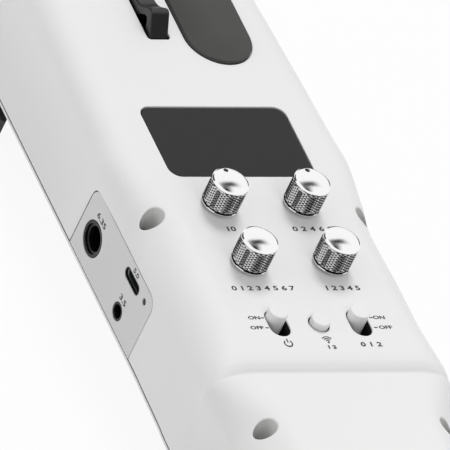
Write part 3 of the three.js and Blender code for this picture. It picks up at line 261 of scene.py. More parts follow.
def body_at(y):
    """Crown drop, flat, corner, side, lean and seam half width at a place along the body."""
    last = len(STATIONS) - 1
    i = 1
    while i < last and STATIONS[i][0] < y:
        i += 1
    four = [STATIONS[min(last, max(0, k))] for k in (i - 2, i - 1, i, i + 1)]
    start = four[1][0]
    span = four[2][0] - start
    t = min(1.0, max(0.0, (y - start) / span))
    sizes = []
    for k in range(len(four[0][1])):
        slopes = [
            (b[1][k] - a[1][k]) / (b[0] - a[0]) if b[0] > a[0] else None
            for a, b in zip(four, four[1:])
        ]
        middle = slopes[1]
        first = middle if slopes[0] is None else eased_slope(slopes[0], middle)
        second = middle if slopes[2] is None else eased_slope(middle, slopes[2])
        sizes.append(
            (2 * t**3 - 3 * t**2 + 1) * four[1][1][k]
            + (t**3 - 2 * t**2 + t) * span * first
            + (3 * t**2 - 2 * t**3) * four[2][1][k]
            + (t**3 - t**2) * span * second
        )
    return sizes


def bend(start, pull, end, t):
    """A point on a curve with one pull between its ends."""
    u = 1 - t
    return tuple(
        u * u * a + 2 * u * t * b + t * t * c for a, b, c in zip(start, pull, end)
    )


def double_bend(start, pull, draw, end, t):
    """The same with a pull for each end."""
    near = bend(start, pull, draw, t)
    far = bend(pull, draw, end, t)
    return tuple(a * (1 - t) + b * t for a, b in zip(near, far))


def rear_half(y, inset, corner_steps=26, side_steps=14):
    """Half of the rear shell's section, centre to seam."""
    drop, flat, corner, side, lean, seam = body_at(y)
    crown = -drop
    top = crown - inset
    shoulder = (side - inset, crown - CORNER_DEPTH)
    above = (shoulder[0] + lean, shoulder[1] + CORNER_PULL)
    below = (
        shoulder[0] - lean * SIDE_BEND_PULL / CORNER_PULL,
        shoulder[1] - SIDE_BEND_PULL,
    )
    edge = (seam - inset, SEAM_Z)
    half = [(flat, top)]
    for i in range(1, corner_steps + 1):
        t = i / corner_steps
        half.append(double_bend((flat, top), (corner - inset, top), above, shoulder, t))
    half += [bend(shoulder, below, edge, i / side_steps) for i in range(1, side_steps + 1)]
    return half


def rear_outer_half(y, inset):
    """The same with the small round at the shell's rim."""
    half = rear_half(y, inset)
    rim_x, rim_z = half[-1]
    return half[:-1] + [
        (rim_x, rim_z + RIM_ROUND),
        (rim_x - 0.3 * RIM_ROUND, rim_z + 0.3 * RIM_ROUND),
        (rim_x - RIM_ROUND, rim_z),
    ]


def front_half(y, inset, top=SEAM_Z - SHELL_GAP, steps=12):
    """Half of the front shell's section, rim to centre."""
    seam = body_at(y)[5] - inset
    lip = (seam, SEAM_Z - FRONT_LIP)
    pull = (seam * FRONT_TUCK_SHARE, FRONT_Z + inset)
    flat = (seam * FRONT_FLAT_SHARE, FRONT_Z + inset)
    rim = [(seam - RIM_ROUND, top), (seam - 0.3 * RIM_ROUND, top - 0.3 * RIM_ROUND), (seam, top - RIM_ROUND)]
    return rim + [bend(lip, pull, flat, i / steps) for i in range(steps + 1)]


def front_inner_half(y, inset):
    """Its inside, carried on past the rim so that it cuts the shell open."""
    seam = body_at(y)[5] - inset
    return [(seam, SEAM_Z + OVERRUN)] + front_half(y, inset)[3:]


def rear_inner_half(y, inset):
    """The rear shell's inside, carried on past the seam."""
    half = rear_half(y, inset, 10, 4)
    return half + [(half[-1][0], SEAM_Z - OVERRUN)]


def ring_from(half, y):
    """A full ring from a half: the right half, then the left half mirrored."""
    return [(x, y, z) for x, z in half] + [(-x, y, z) for x, z in reversed(half)]


# Where rings lie closer together: round the controls, and closest at the crease
CLOSE_LOW = -80.0
CLOSE_HIGH = 62.0
CLOSE_STEP = 1.5
FINE_LOW = -54.0
FINE_HIGH = -43.0
FINE_STEP = 0.4
WIDE_STEP = 4.0


def ring_places(low, high):
    places = []
    y = low
    while y < high:
        places.append(y)
        if FINE_LOW < y < FINE_HIGH:
            y += FINE_STEP
        else:
            y += CLOSE_STEP if CLOSE_LOW < y < CLOSE_HIGH else WIDE_STEP
    if high - places[-1] < CLOSE_STEP:
        places.pop()
    return places + [high]


def rounding(radius, steps):
    """How far a rounded edge stands back from each of its sides, round a quarter turn."""
    quarter = [math.radians(90 * i / steps) for i in range(steps + 1)]
    return [(radius * (1 - math.cos(angle)), radius * (1 - math.sin(angle))) for angle in quarter]


def skin(name, half, low, high, inset=0.0, low_round=0.0, high_round=0.0, round_steps=4):
    """A closed skin along the body, with rounded ends where a radius is given."""
    rings = []
    if low_round:
        for back, down in rounding(low_round, round_steps)[:-1]:
            rings.append(ring_from(half(low + back, inset + down), low + back))
    for y in ring_places(low + low_round, high - high_round):
        rings.append(ring_from(half(y, inset), y))
    if high_round:
        for back, down in reversed(rounding(high_round, round_steps)[:-1]):
            rings.append(ring_from(half(high - back, inset + down), high - back))
    return loft(name, rings)


# Modelling helpers
def deselect():
    if bpy.context.object and bpy.context.object.mode != "OBJECT":
        bpy.ops.object.mode_set(mode="OBJECT")
    bpy.ops.object.select_all(action="DESELECT")


def activate(obj):
    deselect()
    obj.select_set(True)
    bpy.context.view_layer.objects.active = obj


@contextmanager
def editing(obj, kind="EDGE"):
    """Edit mode with nothing selected; gives the mesh being edited."""
    activate(obj)
    bpy.ops.object.mode_set(mode="EDIT")
    bpy.ops.mesh.select_mode(type=kind)
    bpy.ops.mesh.select_all(action="DESELECT")
    yield bmesh.from_edit_mesh(obj.data)
    bpy.ops.object.mode_set(mode="OBJECT")


def outward(obj, merge=1e-4):
    with editing(obj, "VERT"):
        bpy.ops.mesh.select_all(action="SELECT")
        bpy.ops.mesh.remove_doubles(threshold=merge)
        bpy.ops.mesh.normals_make_consistent(inside=False)
    return obj


def new_object(name, points, edges=(), faces=()):
    """An object from points and the edges or faces between them."""
    mesh = bpy.data.meshes.new(name)
    mesh.from_pydata(points, edges, faces)
    obj = bpy.data.objects.new(name, mesh)
    bpy.context.scene.collection.objects.link(obj)
    return obj


def mesh_piece(name, points, faces):
    return outward(new_object(name, points, faces=faces))


def loft(name, rings):
    """A closed skin over rings of equal count, with flat ends."""
    count = len(rings[0])
    faces = []
    for row in range(len(rings) - 1):
        for i in range(count):
            a = row * count + i
            b = row * count + (i + 1) % count
            faces.append((a, b, b + count, a + count))
    faces.append(tuple(reversed(range(count))))
    last = (len(rings) - 1) * count
    faces.append(tuple(range(last, last + count)))
    return mesh_piece(name, [point for ring in rings for point in ring], faces)


def outline(box, corner, grow=0.0, steps=8):
    """A rectangle with round corners, or a stadium or circle where the corners meet."""
    x0, x1, y0, y1 = box
    points = []
    for x, y, start in (
        (x1 - corner, y1 - corner, 0),
        (x0 + corner, y1 - corner, 90),
        (x0 + corner, y0 + corner, 180),
        (x1 - corner, y0 + corner, 270),
    ):
        for i in range(steps + 1):
            angle = math.radians(start + 90 * i / steps)
            reach = corner + grow
            point = (x + reach * math.cos(angle), y + reach * math.sin(angle))
            if not points or math.dist(points[-1], point) > 1e-5:
                points.append(point)
    if math.dist(points[0], points[-1]) < 1e-5:
        points.pop()
    return points


def circle_box(radius, x, y):
    return (x - radius, x + radius, y - radius, y + radius)


def span_box(node, grow=0.0):
    """A node's outline on the face: lowest and highest X, then Y."""
    low, high = corners(node)
    return (low.x - grow, high.x + grow, low.y - grow, high.y + grow)


def side_box(node, grow=0.0):
    """A node's outline on the left side, in the side's own directions."""
    low, high = corners(node)
    return (-high.y - grow, -low.y + grow, low.z - grow, high.z + grow)


def grown(box, grow):
    return (box[0] - grow, box[1] + grow, box[2] - grow, box[3] + grow)


def full_round(box):
    """The corner that makes a stadium of a box, just before its ends meet."""
    return min(box[1] - box[0], box[3] - box[2]) / 2 - 1e-3


def stack(name, box, corner, profile, steps=8):
    """Outlines piled up: the profile gives each one's growth and height."""
    return loft(
        name,
        [[(x, y, z) for x, y in outline(box, corner, grow, steps)] for grow, z in profile],
    )


def fillet(radius, edge, top, steps=5):
    """Profile points that round an edge off, from the wall up to the top."""
    return [(edge - back, top - down) for back, down in rounding(radius, steps)]


def plate(name, box, corner, low, high, edge=0.3, foot=0.0, steps=8):
    """A plate with round corners and its top edge, and if given its lower edge, rounded."""
    start = [(0.0, low)]
    if foot:
        start = [(-foot, low), (-0.3 * foot, low + 0.3 * foot), (0.0, low + foot)]
    return stack(name, box, corner, start + fillet(edge, 0.0, high), steps)


def opening(name, box, corner, floor, lip, steps=8, top=0.0):
    """A cutter for a hole in a flat face, which leaves the hole's edge rounded."""
    profile = [(0.0, floor)]
    profile += [(back, top + PROUD - down) for back, down in rounding(lip, 4)]
    profile.append((lip, top + OVERRUN))
    return stack(name, box, corner, profile, steps)


def box_piece(name, low, high):
    """A box between two corners."""
    deselect()
    middle = [(a + b) / 2 for a, b in zip(low, high)]
    bpy.ops.mesh.primitive_cube_add(size=1, location=middle)
    obj = bpy.context.object
    obj.scale = [b - a for a, b in zip(low, high)]
    bpy.ops.object.transform_apply(location=True, rotation=True, scale=True)
    obj.name = name
    return obj


AXIS_TURNS = {"X": (0, math.pi / 2, 0), "Y": (math.pi / 2, 0, 0), "Z": (0, 0, 0)}


def bar(name, radius, low, high, centre, axis="Z", sides=48):
    """A round bar along an axis between two ends; centre gives its other two places."""
    deselect()
    place = list(centre)
    place.insert("XYZ".index(axis), (low + high) / 2)
    bpy.ops.mesh.primitive_cylinder_add(
        vertices=sides, radius=radius, depth=high - low, location=place, rotation=AXIS_TURNS[axis]
    )
    bpy.ops.object.transform_apply(location=True, rotation=True, scale=True)
    obj = bpy.context.object
    obj.name = name
    return obj


def turned(name, profile, sides=64):
    """A shape turned round Z by the spin tool; the profile gives radius and height."""
    points = [(radius, 0.0, z) for radius, z in profile]
    obj = new_object(name, points, edges=[(i, i + 1) for i in range(len(points) - 1)])
    with editing(obj, "VERT"):
        bpy.ops.mesh.select_all(action="SELECT")
        bpy.ops.mesh.spin(steps=sides, angle=2 * math.pi, center=(0, 0, 0), axis=(0, 0, 1))
    return outward(obj)


def placed(obj, x=0.0, y=0.0, z=0.0, turn=None):
    obj.data.transform(Matrix.Translation((x, y, z)) @ (turn or Matrix.Identity(4)))
    return obj


def on_side(obj):
    """Stands a shape that was drawn flat on the left side."""
    return placed(obj, turn=TO_SIDE)


def apply(obj, kind, **settings):
    """Adds a modifier, sets it and applies it."""
    activate(obj)
    modifier = obj.modifiers.new(kind.lower(), kind)
    for key, value in settings.items():
        setattr(modifier, key, value)
    bpy.ops.object.modifier_apply(modifier=modifier.name)
    return obj


def combine(obj, others, operation):
    """Joins, cuts or intersects with a group of closed shapes, which it uses up."""
    group = bpy.data.collections.new(operation)
    for other in others:
        group.objects.link(other)
    apply(obj, "BOOLEAN", operation=operation, operand_type="COLLECTION", collection=group, solver="EXACT")
    for other in others:
        bpy.data.objects.remove(other)
    bpy.data.collections.remove(group)
    return obj


def cut(obj, *others):
    return combine(obj, others, "DIFFERENCE")


def join(obj, *others):
    return combine(obj, others, "UNION")


def rounded(obj, width, segments=3, angle=35):
    return apply(obj, "BEVEL", width=width, segments=segments, limit_method="ANGLE",
                 angle_limit=math.radians(angle), use_clamp_overlap=True, harden_normals=False)


def finished(obj, name, body, material, replaced=(), angle=32):
    """Shades a piece, carries it into the frame and ties it to its body."""
    activate(obj)
    obj.name = name
    obj.data.name = name
    obj.data.transform(TO_FRAME)
    bpy.ops.object.shade_smooth_by_angle(angle=math.radians(angle))
    apply(obj, "WEIGHTED_NORMAL", keep_sharp=True, weight=80)
    obj.data.materials.clear()
    obj.data.materials.append(MATERIALS[material])
    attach(obj, body)
    if replaced:
        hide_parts(*replaced)
    return obj


# Materials: the shared effects first, then the finishes
def srgb(red, green, blue):
    """A colour read from a screen, 0 to 255, as the linear colour that a shader takes."""

    def linear(value):
        value /= 255
        return value / 12.92 if value <= 0.04045 else ((value + 0.055) / 1.055) ** 2.4

    return (linear(red), linear(green), linear(blue))


def new_group(name, inputs, outputs):
    """A shader node group with named inputs, each with a default, and outputs."""
    group = bpy.data.node_groups.new(name, "ShaderNodeTree")
    for label, kind, default in inputs:
        socket = group.interface.new_socket(label, in_out="INPUT", socket_type=kind)
        if default is not None:
            socket.default_value = default
    for label, kind in outputs:
        group.interface.new_socket(label, in_out="OUTPUT", socket_type=kind)
    return group, group.nodes.new("NodeGroupInput"), group.nodes.new("NodeGroupOutput")


def put(tree, kind, values=None, **settings):
    """Adds a node, sets its own values, and links or fills its inputs."""
    node = tree.nodes.new(kind)
    for key, value in settings.items():
        setattr(node, key, value)
    for key, value in (values or {}).items():
        if isinstance(value, bpy.types.NodeSocket):
            tree.links.new(value, node.inputs[key])
        else:
            node.inputs[key].default_value = value
    return node


def blank_material(name):
    """A material with an empty tree and its output node."""
    material = bpy.data.materials.new(name)
    material.use_nodes = True
    tree = material.node_tree
    tree.nodes.clear()
    return material, tree, put(tree, "ShaderNodeOutputMaterial")


COLOUR = "NodeSocketColor"
NUMBER = "NodeSocketFloat"
DIRECTION = "NodeSocketVector"
WHITE = (1.0, 1.0, 1.0, 1.0)


def moulded_group():
    """Moulded plastic or rubber: fine grain, slow changes of shade and of gloss."""
    group, given, result = new_group(
        "moulded_surface",
        (
            ("Colour", COLOUR, WHITE),
            ("Shade Change", NUMBER, 0.02),
            ("Roughness", NUMBER, 0.4),
            ("Gloss Change", NUMBER, 0.05),
            ("Grain Size", NUMBER, 0.0004),
            ("Grain Depth", NUMBER, 0.00001),
        ),
        (("Colour", COLOUR), ("Roughness", NUMBER), ("Normal", DIRECTION)),
    )
    place = put(group, "ShaderNodeTexCoord").outputs["Object"]
    slow = put(group, "ShaderNodeTexNoise", {"Vector": place, "Scale": 28.0, "Detail": 4.0})
    spread = put(group, "ShaderNodeMapRange", {"Value": slow.outputs["Fac"], "To Min": -1.0, "To Max": 1.0})
    change = put(
        group,
        "ShaderNodeMath",
        {0: spread.outputs["Result"], 1: given.outputs["Shade Change"], 2: 1.0},
        operation="MULTIPLY_ADD",
    )
    shade = put(
        group,
        "ShaderNodeVectorMath",
        {0: given.outputs["Colour"], "Scale": change.outputs[0]},
        operation="SCALE",
    )
    rub = put(
        group, "ShaderNodeTexNoise", {"Vector": place, "Scale": 160.0, "Detail": 6.0, "Roughness": 0.65}
    )
    rub_spread = put(
        group, "ShaderNodeMapRange", {"Value": rub.outputs["Fac"], "To Min": -1.0, "To Max": 1.0}
    )
    gloss = put(
        group,
        "ShaderNodeMath",
        {0: rub_spread.outputs["Result"], 1: given.outputs["Gloss Change"], 2: given.outputs["Roughness"]},
        operation="MULTIPLY_ADD",
    )
    inverse = put(group, "ShaderNodeMath", {0: 1.0, 1: given.outputs["Grain Size"]}, operation="DIVIDE")
    grain = put(group, "ShaderNodeTexNoise", {"Vector": place, "Scale": inverse.outputs[0], "Detail": 2.0})
    bump = put(
        group,
        "ShaderNodeBump",
        {"Height": grain.outputs["Fac"], "Distance": given.outputs["Grain Depth"], "Strength": 1.0},
    )
    group.links.new(shade.outputs["Vector"], result.inputs["Colour"])
    group.links.new(gloss.outputs[0], result.inputs["Roughness"])
    group.links.new(bump.outputs["Normal"], result.inputs["Normal"])
    return group


def edge_group():
    """Masks from the surface's pointiness: one that is 1 on sharp edges and another that is 1 in hollows,
    which carries painted shade.
    """
    group, given, result = new_group(
        "edges_and_corners",
        (("Width", NUMBER, 0.03),),
        (("Edge", NUMBER), ("Corner", NUMBER)),
    )
    shape = put(group, "ShaderNodeNewGeometry").outputs["Pointiness"]
    high = put(group, "ShaderNodeMath", {0: 0.5, 1: given.outputs["Width"]}, operation="ADD")
    low = put(group, "ShaderNodeMath", {0: 0.5, 1: given.outputs["Width"]}, operation="SUBTRACT")
    edge = put(group, "ShaderNodeMapRange", {"Value": shape, "From Min": 0.5, "From Max": high.outputs[0]})
    corner = put(group, "ShaderNodeMapRange", {"Value": shape, "From Min": 0.5, "From Max": low.outputs[0]})
    group.links.new(edge.outputs["Result"], result.inputs["Edge"])
    group.links.new(corner.outputs["Result"], result.inputs["Corner"])
    return group


GROUPS = {}


def surface(name, settings, **shader):
    """A material whose shader takes colour, roughness and normal from the moulded surface."""
    material, tree, output = blank_material(name)
    look = put(tree, "ShaderNodeGroup", settings, node_tree=GROUPS["moulded_surface"])
    principled = put(
        tree, "ShaderNodeBsdfPrincipled", {key.replace("_", " "): value for key, value in shader.items()}
    )
    tree.links.new(look.outputs["Colour"], principled.inputs["Base Color"])
    tree.links.new(look.outputs["Roughness"], principled.inputs["Roughness"])
    tree.links.new(look.outputs["Normal"], principled.inputs["Normal"])
    tree.links.new(principled.outputs["BSDF"], output.inputs["Surface"])
    return material


def plastic(name, colour, roughness=0.4, shade=0.015, gloss=0.04, grain=0.00035, depth=0.000004, **shader):
    return surface(
        name,
        {
            "Colour": (*colour, 1.0),
            "Shade Change": shade,
            "Roughness": roughness,
            "Gloss Change": gloss,
            "Grain Size": grain,
            "Grain Depth": depth,
        },
        **shader,
    )


def metal(name, colour, roughness, gloss=0.03, depth=0.000002):
    return plastic(name, colour, roughness, 0.01, gloss, 0.0006, depth, Metallic=1.0)


def knurled_metal(name, light, dark):
    """Bright points over dark valleys; the dark in the valleys is painted shade."""
    material = metal(name, light, 0.16, 0.04)
    tree = material.node_tree
    look = next(node for node in tree.nodes if node.type == "GROUP")
    shader = next(node for node in tree.nodes if node.type == "BSDF_PRINCIPLED")
    edges = put(tree, "ShaderNodeGroup", {"Width": 0.08}, node_tree=GROUPS["edges_and_corners"])
    # Painted shade: the hollows of the knurl are mixed towards the dark colour
    mix = put(tree, "ShaderNodeMix", {"Factor": edges.outputs["Corner"]}, data_type="RGBA")
    tree.links.new(look.outputs["Colour"], mix.inputs["A"])
    mix.inputs["B"].default_value = (*dark, 1.0)
    tree.links.new(mix.outputs["Result"], shader.inputs["Base Color"])
    return material


MATERIALS = {}


def make_materials(finish):
    """Builds each finish once; the pieces take them by name."""
    GROUPS["moulded_surface"] = moulded_group()
    GROUPS["edges_and_corners"] = edge_group()
    white = tuple(finish.body_colour)
    panel = tuple(finish.panel_colour)
    black = tuple(finish.black_colour)
    rubber = tuple(finish.rubber_colour)
    smoke = tuple(finish.window_colour)
    MATERIALS.update(
        white=plastic("white_satin_plastic", white, finish.body_roughness, depth=0.0000025),
        panel=plastic("panel_plastic", panel, 0.5, depth=0.000003),
        black=plastic("black_plastic", black, 0.38, 0.05, 0.06),
        lever=plastic("lever_plastic", srgb(40, 40, 41), 0.34, 0.04, 0.05),
        socket=plastic("socket_plastic", srgb(14, 14, 15), 0.3, 0.05, Specular_IOR_Level=0.3),
        # A near-black sheet that stands in for the shade in the thumb lever's slot
        dark=plastic("slot_shade_black", srgb(5, 5, 5), 0.6, 0.05, Specular_IOR_Level=0.1),
        # Painted shade for the deep walls of the screw wells
        well=plastic("well_wall_painted_shade", srgb(212, 212, 210), 0.6, 0.04, Specular_IOR_Level=0.3),
        rubber=plastic("soft_black_rubber", rubber, 0.5, 0.05, 0.06, 0.0005, 0.000006),
        window=plastic("smoked_window", smoke, 0.55, 0.01, 0.02, 0.0003, 0.0000008, Specular_IOR_Level=0.25),
        print=plastic("printed_ink", srgb(52, 52, 52), 0.6, 0.08, 0.05, 0.0002, 0.000004),
        chrome=metal("polished_chrome", srgb(246, 246, 247), 0.07, 0.02, 0.0000004),
        # The knurl's dark valleys are painted shade
        knurl=knurled_metal("knurled_chrome_valley_shade", srgb(206, 206, 206), srgb(20, 20, 20)),
        groove=metal("groove_shadow", srgb(30, 30, 32), 0.4),
        steel=metal("brushed_steel", srgb(176, 178, 182), 0.3, 0.08),
        can=metal("tin_can", srgb(150, 153, 157), 0.42, 0.1),
        switch=plastic("switch_body_plastic", srgb(24, 24, 25), 0.5, 0.06),
        reed=plastic("reed_cane", srgb(58, 58, 60), 0.5, 0.08, 0.06, 0.0008, 0.000012),
        board=plastic("board_laminate", srgb(28, 74, 44), 0.35, 0.12, 0.1, 0.0009, 0.000012),
        wrap=plastic("battery_sleeve", srgb(38, 62, 120), 0.4, 0.05, 0.08, 0.002, 0.00003),
    )


# Pieces seen in the photograph
def rear_casing(settings):
    """The rear shell, with every opening that the controls, wells and sockets need."""
    low, high, half_wall = -LOWER_LENGTH, UPPER_LENGTH, SHELL_WALL / 2
    outer = skin("rear_outer", rear_outer_half, low, high, 0, LOWER_END_ROUND, UPPER_END_ROUND)
    inner = skin("rear_inner", rear_inner_half, low + SHELL_WALL, high - SHELL_WALL, SHELL_WALL)
    whole = skin("rear_whole", rear_inner_half, low + half_wall, high - half_wall, half_wall)
    wells = [screw_place(screw) for screw in SCREWS]
    bosses = [bar("boss", WELL_RADIUS + half_wall, floor - 2.0, 0.0, (x, y)) for x, y, floor in wells]
    join(*bosses)
    combine(bosses[0], [whole], "INTERSECT")
    cut(outer, inner)
    join(outer, bosses[0], *octave_ears(), *lever_ribs())
    cut(outer, *side_openings())
    cut(outer, *well_cutters())
    cut(outer, *face_openings(settings), *pin_bores())
    finished(outer, "rear_casing", "body", "white", ("rear_shell",), 28)
    shade_wells(outer, wells)


def shade_wells(shell, wells):
    """Gives the steep walls of the wells a greyer material: painted shade down in the wells."""
    shell.data.materials.append(MATERIALS["well"])
    base = TO_FRAME.inverted()
    for polygon in shell.data.polygons:
        place = base @ polygon.center
        for x, y, floor in wells:
            if math.hypot(place.x - x, place.y - y) > WELL_RADIUS + 0.03:
                continue
            top = surface_z(place.x, place.y) - WELL_LIP
            if abs(polygon.normal.z) < 0.3 and floor - 0.1 < place.z < top:
                polygon.material_index = 1


def screw_place(node):
    """Where a well stands: its X and Y, and the height of its floor."""
    x, y, _ = middle_of(node)
    return x, y, corners(node)[1].z - SCREW_HEAD - SEAT


def surface_z(x, y):
    """Height of the rear shell's skin above a point of its plan."""
    half = rear_half(y, 0, 60, 4)
    x = abs(x)
    if x <= half[0][0]:
        return half[0][1]
    for (x0, z0), (x1, z1) in zip(half, half[1:]):
        if x0 <= x <= x1:
            return z0 + (z1 - z0) * (x - x0) / (x1 - x0)
    return half[-1][1]


def well_cutters():
    """A round hole down to the screw, its rim rounded along the sloping shoulder."""
    cutters = []
    for screw in SCREWS:
        x, y, floor = screw_place(screw)
        box = circle_box(WELL_RADIUS, x, y)
        rings = [[(px, py, floor) for px, py in outline(box, WELL_RADIUS, 0, 12)]]
        for grow, sink in rounding(WELL_LIP, 4):
            rim = outline(box, WELL_RADIUS, grow, 12)
            rings.append([(px, py, surface_z(px, py) + 0.01 - sink) for px, py in rim])
        rings.append([(px, py, surface_z(px, py) + 0.4) for px, py in rim])
        rings.append([(px, py, OVERRUN) for px, py in rim])
        cutters.append(loft("well", rings))
        radius, low = SHANK_RADIUS + SEAT, SEAM_Z - OVERRUN
        cutters.append(bar("shank_hole", radius, low, floor + 0.5, (x, y), sides=24))
    return cutters


def slot_box(node):
    """The stadium that a slider runs in, with the cap at its upper end at rest."""
    x, y, _ = middle_of(node)
    return (x - SLOT_RADIUS, x + SLOT_RADIUS, y - SLOT_TRAVEL - SLOT_RADIUS, y + SLOT_RADIUS)


def under_skin(name, box, corner, grow):
    """A cutter that widens an opening below the thin skin of the face."""
    profile = [(0, -SHELL_WALL - OVERRUN), (0, -SLOT_SKIN)]
    return stack(name, grown(box, grow), corner + grow, profile)


def face_openings(settings):
    lip = settings.hole_round / MM
    through = -SHELL_WALL - OVERRUN
    glass = span_box("display_window", SEAT)
    cutters = [opening("window_hole", glass, WINDOW_CORNER + SEAT, through, 0.2)]
    for node in KNOBS:
        x, y, _ = middle_of(node)
        hole = circle_box(SHAFT_HOLE_RADIUS, x, y)
        cutters.append(opening("shaft_hole", hole, SHAFT_HOLE_RADIUS, through, 0.1))
    for node in SLIDES:
        cutters.append(opening("slot", slot_box(node), SLOT_RADIUS, through, lip, 10))
        cutters.append(under_skin("under_slot", slot_box(node), SLOT_RADIUS, 1.3))
    hole = circle_box(BUTTON_HOLE_RADIUS, 0, middle_of("centre_button")[1])
    cutters.append(opening("button_hole", hole, BUTTON_HOLE_RADIUS, through, lip, 12))
    cutters.append(under_skin("under_button", hole, BUTTON_HOLE_RADIUS, 1.1))
    pad, rest, strap = (span_box(node, SEAT) for node in ("thumb_pad", "thumb_rest", "strap_ring"))
    cutters.append(opening("pad_seat", pad, PAD_RADIUS + SEAT, -RECESS, SEAT_LIP, 16))
    cutters.append(opening("lever_hole", lever_box(), 1.0, through, SEAT_LIP))
    cutters.append(under_skin("under_lever", lever_box(), 0.95, 0.6))
    cutters.append(opening("rest_seat", rest, full_round(rest), -RECESS, SEAT_LIP, 16))
    cutters.append(opening("strap_seat", strap, PLATE_CORNER, -RECESS, SEAT_LIP))
    return cutters


def lever_box():
    """The thumb lever's hole in the face."""
    left, right, near, far = span_box("thumb_lever")
    return (left - LEVER_SIDE_GAP, right + LEVER_SIDE_GAP, near - LEVER_END_GAP, far + LEVER_END_GAP)


def side_openings():
    """The panel's seat, the rooms of the sockets behind it, and the neck's hole."""
    left, right, low, high = side_box("jack_panel", SEAT)
    box = (left, right, low - PANEL_CORNER - 2 * OVERRUN, high)
    inner = -PANEL_X - PANEL_THICK - SEAT
    profile = [(0, inner), (0, -PANEL_X + OVERRUN)]
    cutters = [on_side(stack("panel_seat", box, PANEL_CORNER + SEAT, profile))]
    for node in ("output_jack", "phones_jack", "jack_board", "usb_port"):
        low, high = corners(node)
        near = (PANEL_X + OVERRUN, low.y - SEAT, low.z - SEAT)
        far = (PANEL_X + SHELL_WALL + OVERRUN, high.y + SEAT, high.z + SEAT)
        cutters.append(box_piece("room", near, far))
    end = UPPER_LENGTH + OVERRUN
    cutters.append(bar("tenon_hole", TENON_RADIUS + SEAT, UPPER_LENGTH - 4, end, (0, NECK_Z), "Y"))
    return cutters


def octave_axle(key):
    """The octave key's pin: its place along the body and its height."""
    return middle_of(key.replace("key", "pin"))[1:]


def octave_ears():
    """Two round-headed ears each side of an octave key's hub."""
    ears = []
    for key in OCTAVE_KEYS:
        y, z = octave_axle(key)
        for side in (-1, 1):
            near, far = sorted(side * x for x in EAR_SPAN)
            stand = box_piece("ear_stand", (near, y - EAR_RADIUS, -SHELL_WALL), (far, y + EAR_RADIUS, z))
            head = bar("ear", EAR_RADIUS, near, far, (y, z), "X", 32)
            ears.append(join(head, stand))
    return ears


def lever_ribs():
    """Two ribs under the face that hold the thumb lever's pin."""
    low, high = corners("thumb_lever")
    mid = (low.y + high.y) / 2
    ribs = []
    for near, far in (
        (low.x - RIB_GAP - RIB_THICK, low.x - RIB_GAP),
        (high.x + RIB_GAP, high.x + RIB_GAP + RIB_THICK),
    ):
        start = (near, mid - RIB_HALF_LENGTH, RIB_LOW)
        ribs.append(box_piece("rib", start, (far, mid + RIB_HALF_LENGTH, -SHELL_WALL + 0.2)))
    return ribs


def pin_bores():
    low, high = corners("lever_pin")
    axle = middle_of("lever_pin")[1:]
    bores = [bar("pin_bore", PIN_BORE, low.x - OVERRUN, high.x + OVERRUN, axle, "X", 24)]
    for key in OCTAVE_KEYS:
        bores.append(bar("pin_bore", PIN_BORE, -OCTAVE_BORE_END, OCTAVE_BORE_END, octave_axle(key), "X", 24))
    return bores


def rod_axis(rod):
    """X and Z of a rod that lies along the body."""
    x, _, z = middle_of(rod)
    return x, z


def front_casing():
    """The front shell: a shallow tray whose posts carry the key rods."""
    low, high = -LOWER_LENGTH, UPPER_LENGTH
    outer = skin("front_outer", front_half, low, high, 0, LOWER_END_ROUND, UPPER_END_ROUND)
    inner = skin("front_inner", front_inner_half, low + SHELL_WALL, high - SHELL_WALL, SHELL_WALL)
    cut(outer, inner)
    posts = []
    bores = []
    for hand in HANDS:
        rod = f"{hand}_hand_rod"
        low, high = corners(rod)
        start = middle_of(f"{hand}_little_key_1")[1]
        pitch = middle_of(f"{hand}_little_key_2")[1] - start
        posts += [rod_post(rod, start + (i - 0.5) * pitch) for i in range(6)]
        bores.append(bar("rod_bore", ROD_BORE, low.y - 20, high.y + 20, rod_axis(rod), "Y", 24))
    low, high = corners("side_rod")
    posts += [rod_post("side_rod", middle_of("side_rod")[1] + side * SIDE_POST_PITCH) for side in (-1, 1)]
    bores.append(bar("rod_bore", ROD_BORE, low.y - 30, high.y + 30, rod_axis("side_rod"), "Y", 24))
    join(outer, *posts)
    cut(outer, *bores)
    finished(outer, "front_casing", "body", "white", ("front_shell",), 28)


def rod_post(rod, y):
    """A post under the front shell with a round foot that holds a rod."""
    x, z = rod_axis(rod)
    foot = bar("post", POST_RADIUS, y - POST_HALF, y + POST_HALF, (x, z), "Y", 40)
    rounded(foot, 0.4)
    top = (x + POST_RADIUS, y + POST_HALF, FRONT_Z + 0.6)
    return join(foot, box_piece("post_stand", (x - POST_RADIUS, y - POST_HALF, z), top))


def bell_cap():
    """The black cap that closes the bell end, flared, with a dished end face."""
    low, high = corners("bell_cap")
    end, flare = 1.0, 1.6

    def ring(y, grow):
        half = rear_half(-LOWER_LENGTH, -grow)
        under = front_half(-LOWER_LENGTH, -grow)[3:]
        return ring_from(half + [(half[-1][0], SEAM_Z - FRONT_LIP * 0.5)] + under, y)

    rings = [ring(low.y + back, -down) for back, down in rounding(end, 5)]
    for i in range(1, 13):
        t = i / 12
        swell = flare * math.sin(math.pi * min(1.0, t * 1.15)) ** 1.3 if t < 0.87 else 0.0
        rings.append(ring(low.y + end + t * (high.y - low.y - end - 0.3), swell))
    rings.append(ring(high.y, -0.3))
    cap = loft("bell_cap_outer", rings)
    dish = ((-OVERRUN, 4.2), (0.1, 4.4), (1.4, 5.2), (2.6, 6.6), (3.0, 9.0))
    cut(cap, loft("dish", [ring(low.y + place, -inset) for place, inset in dish]))
    finished(cap, "bell_cap_flared", "body", "black", ("bell_cap",))


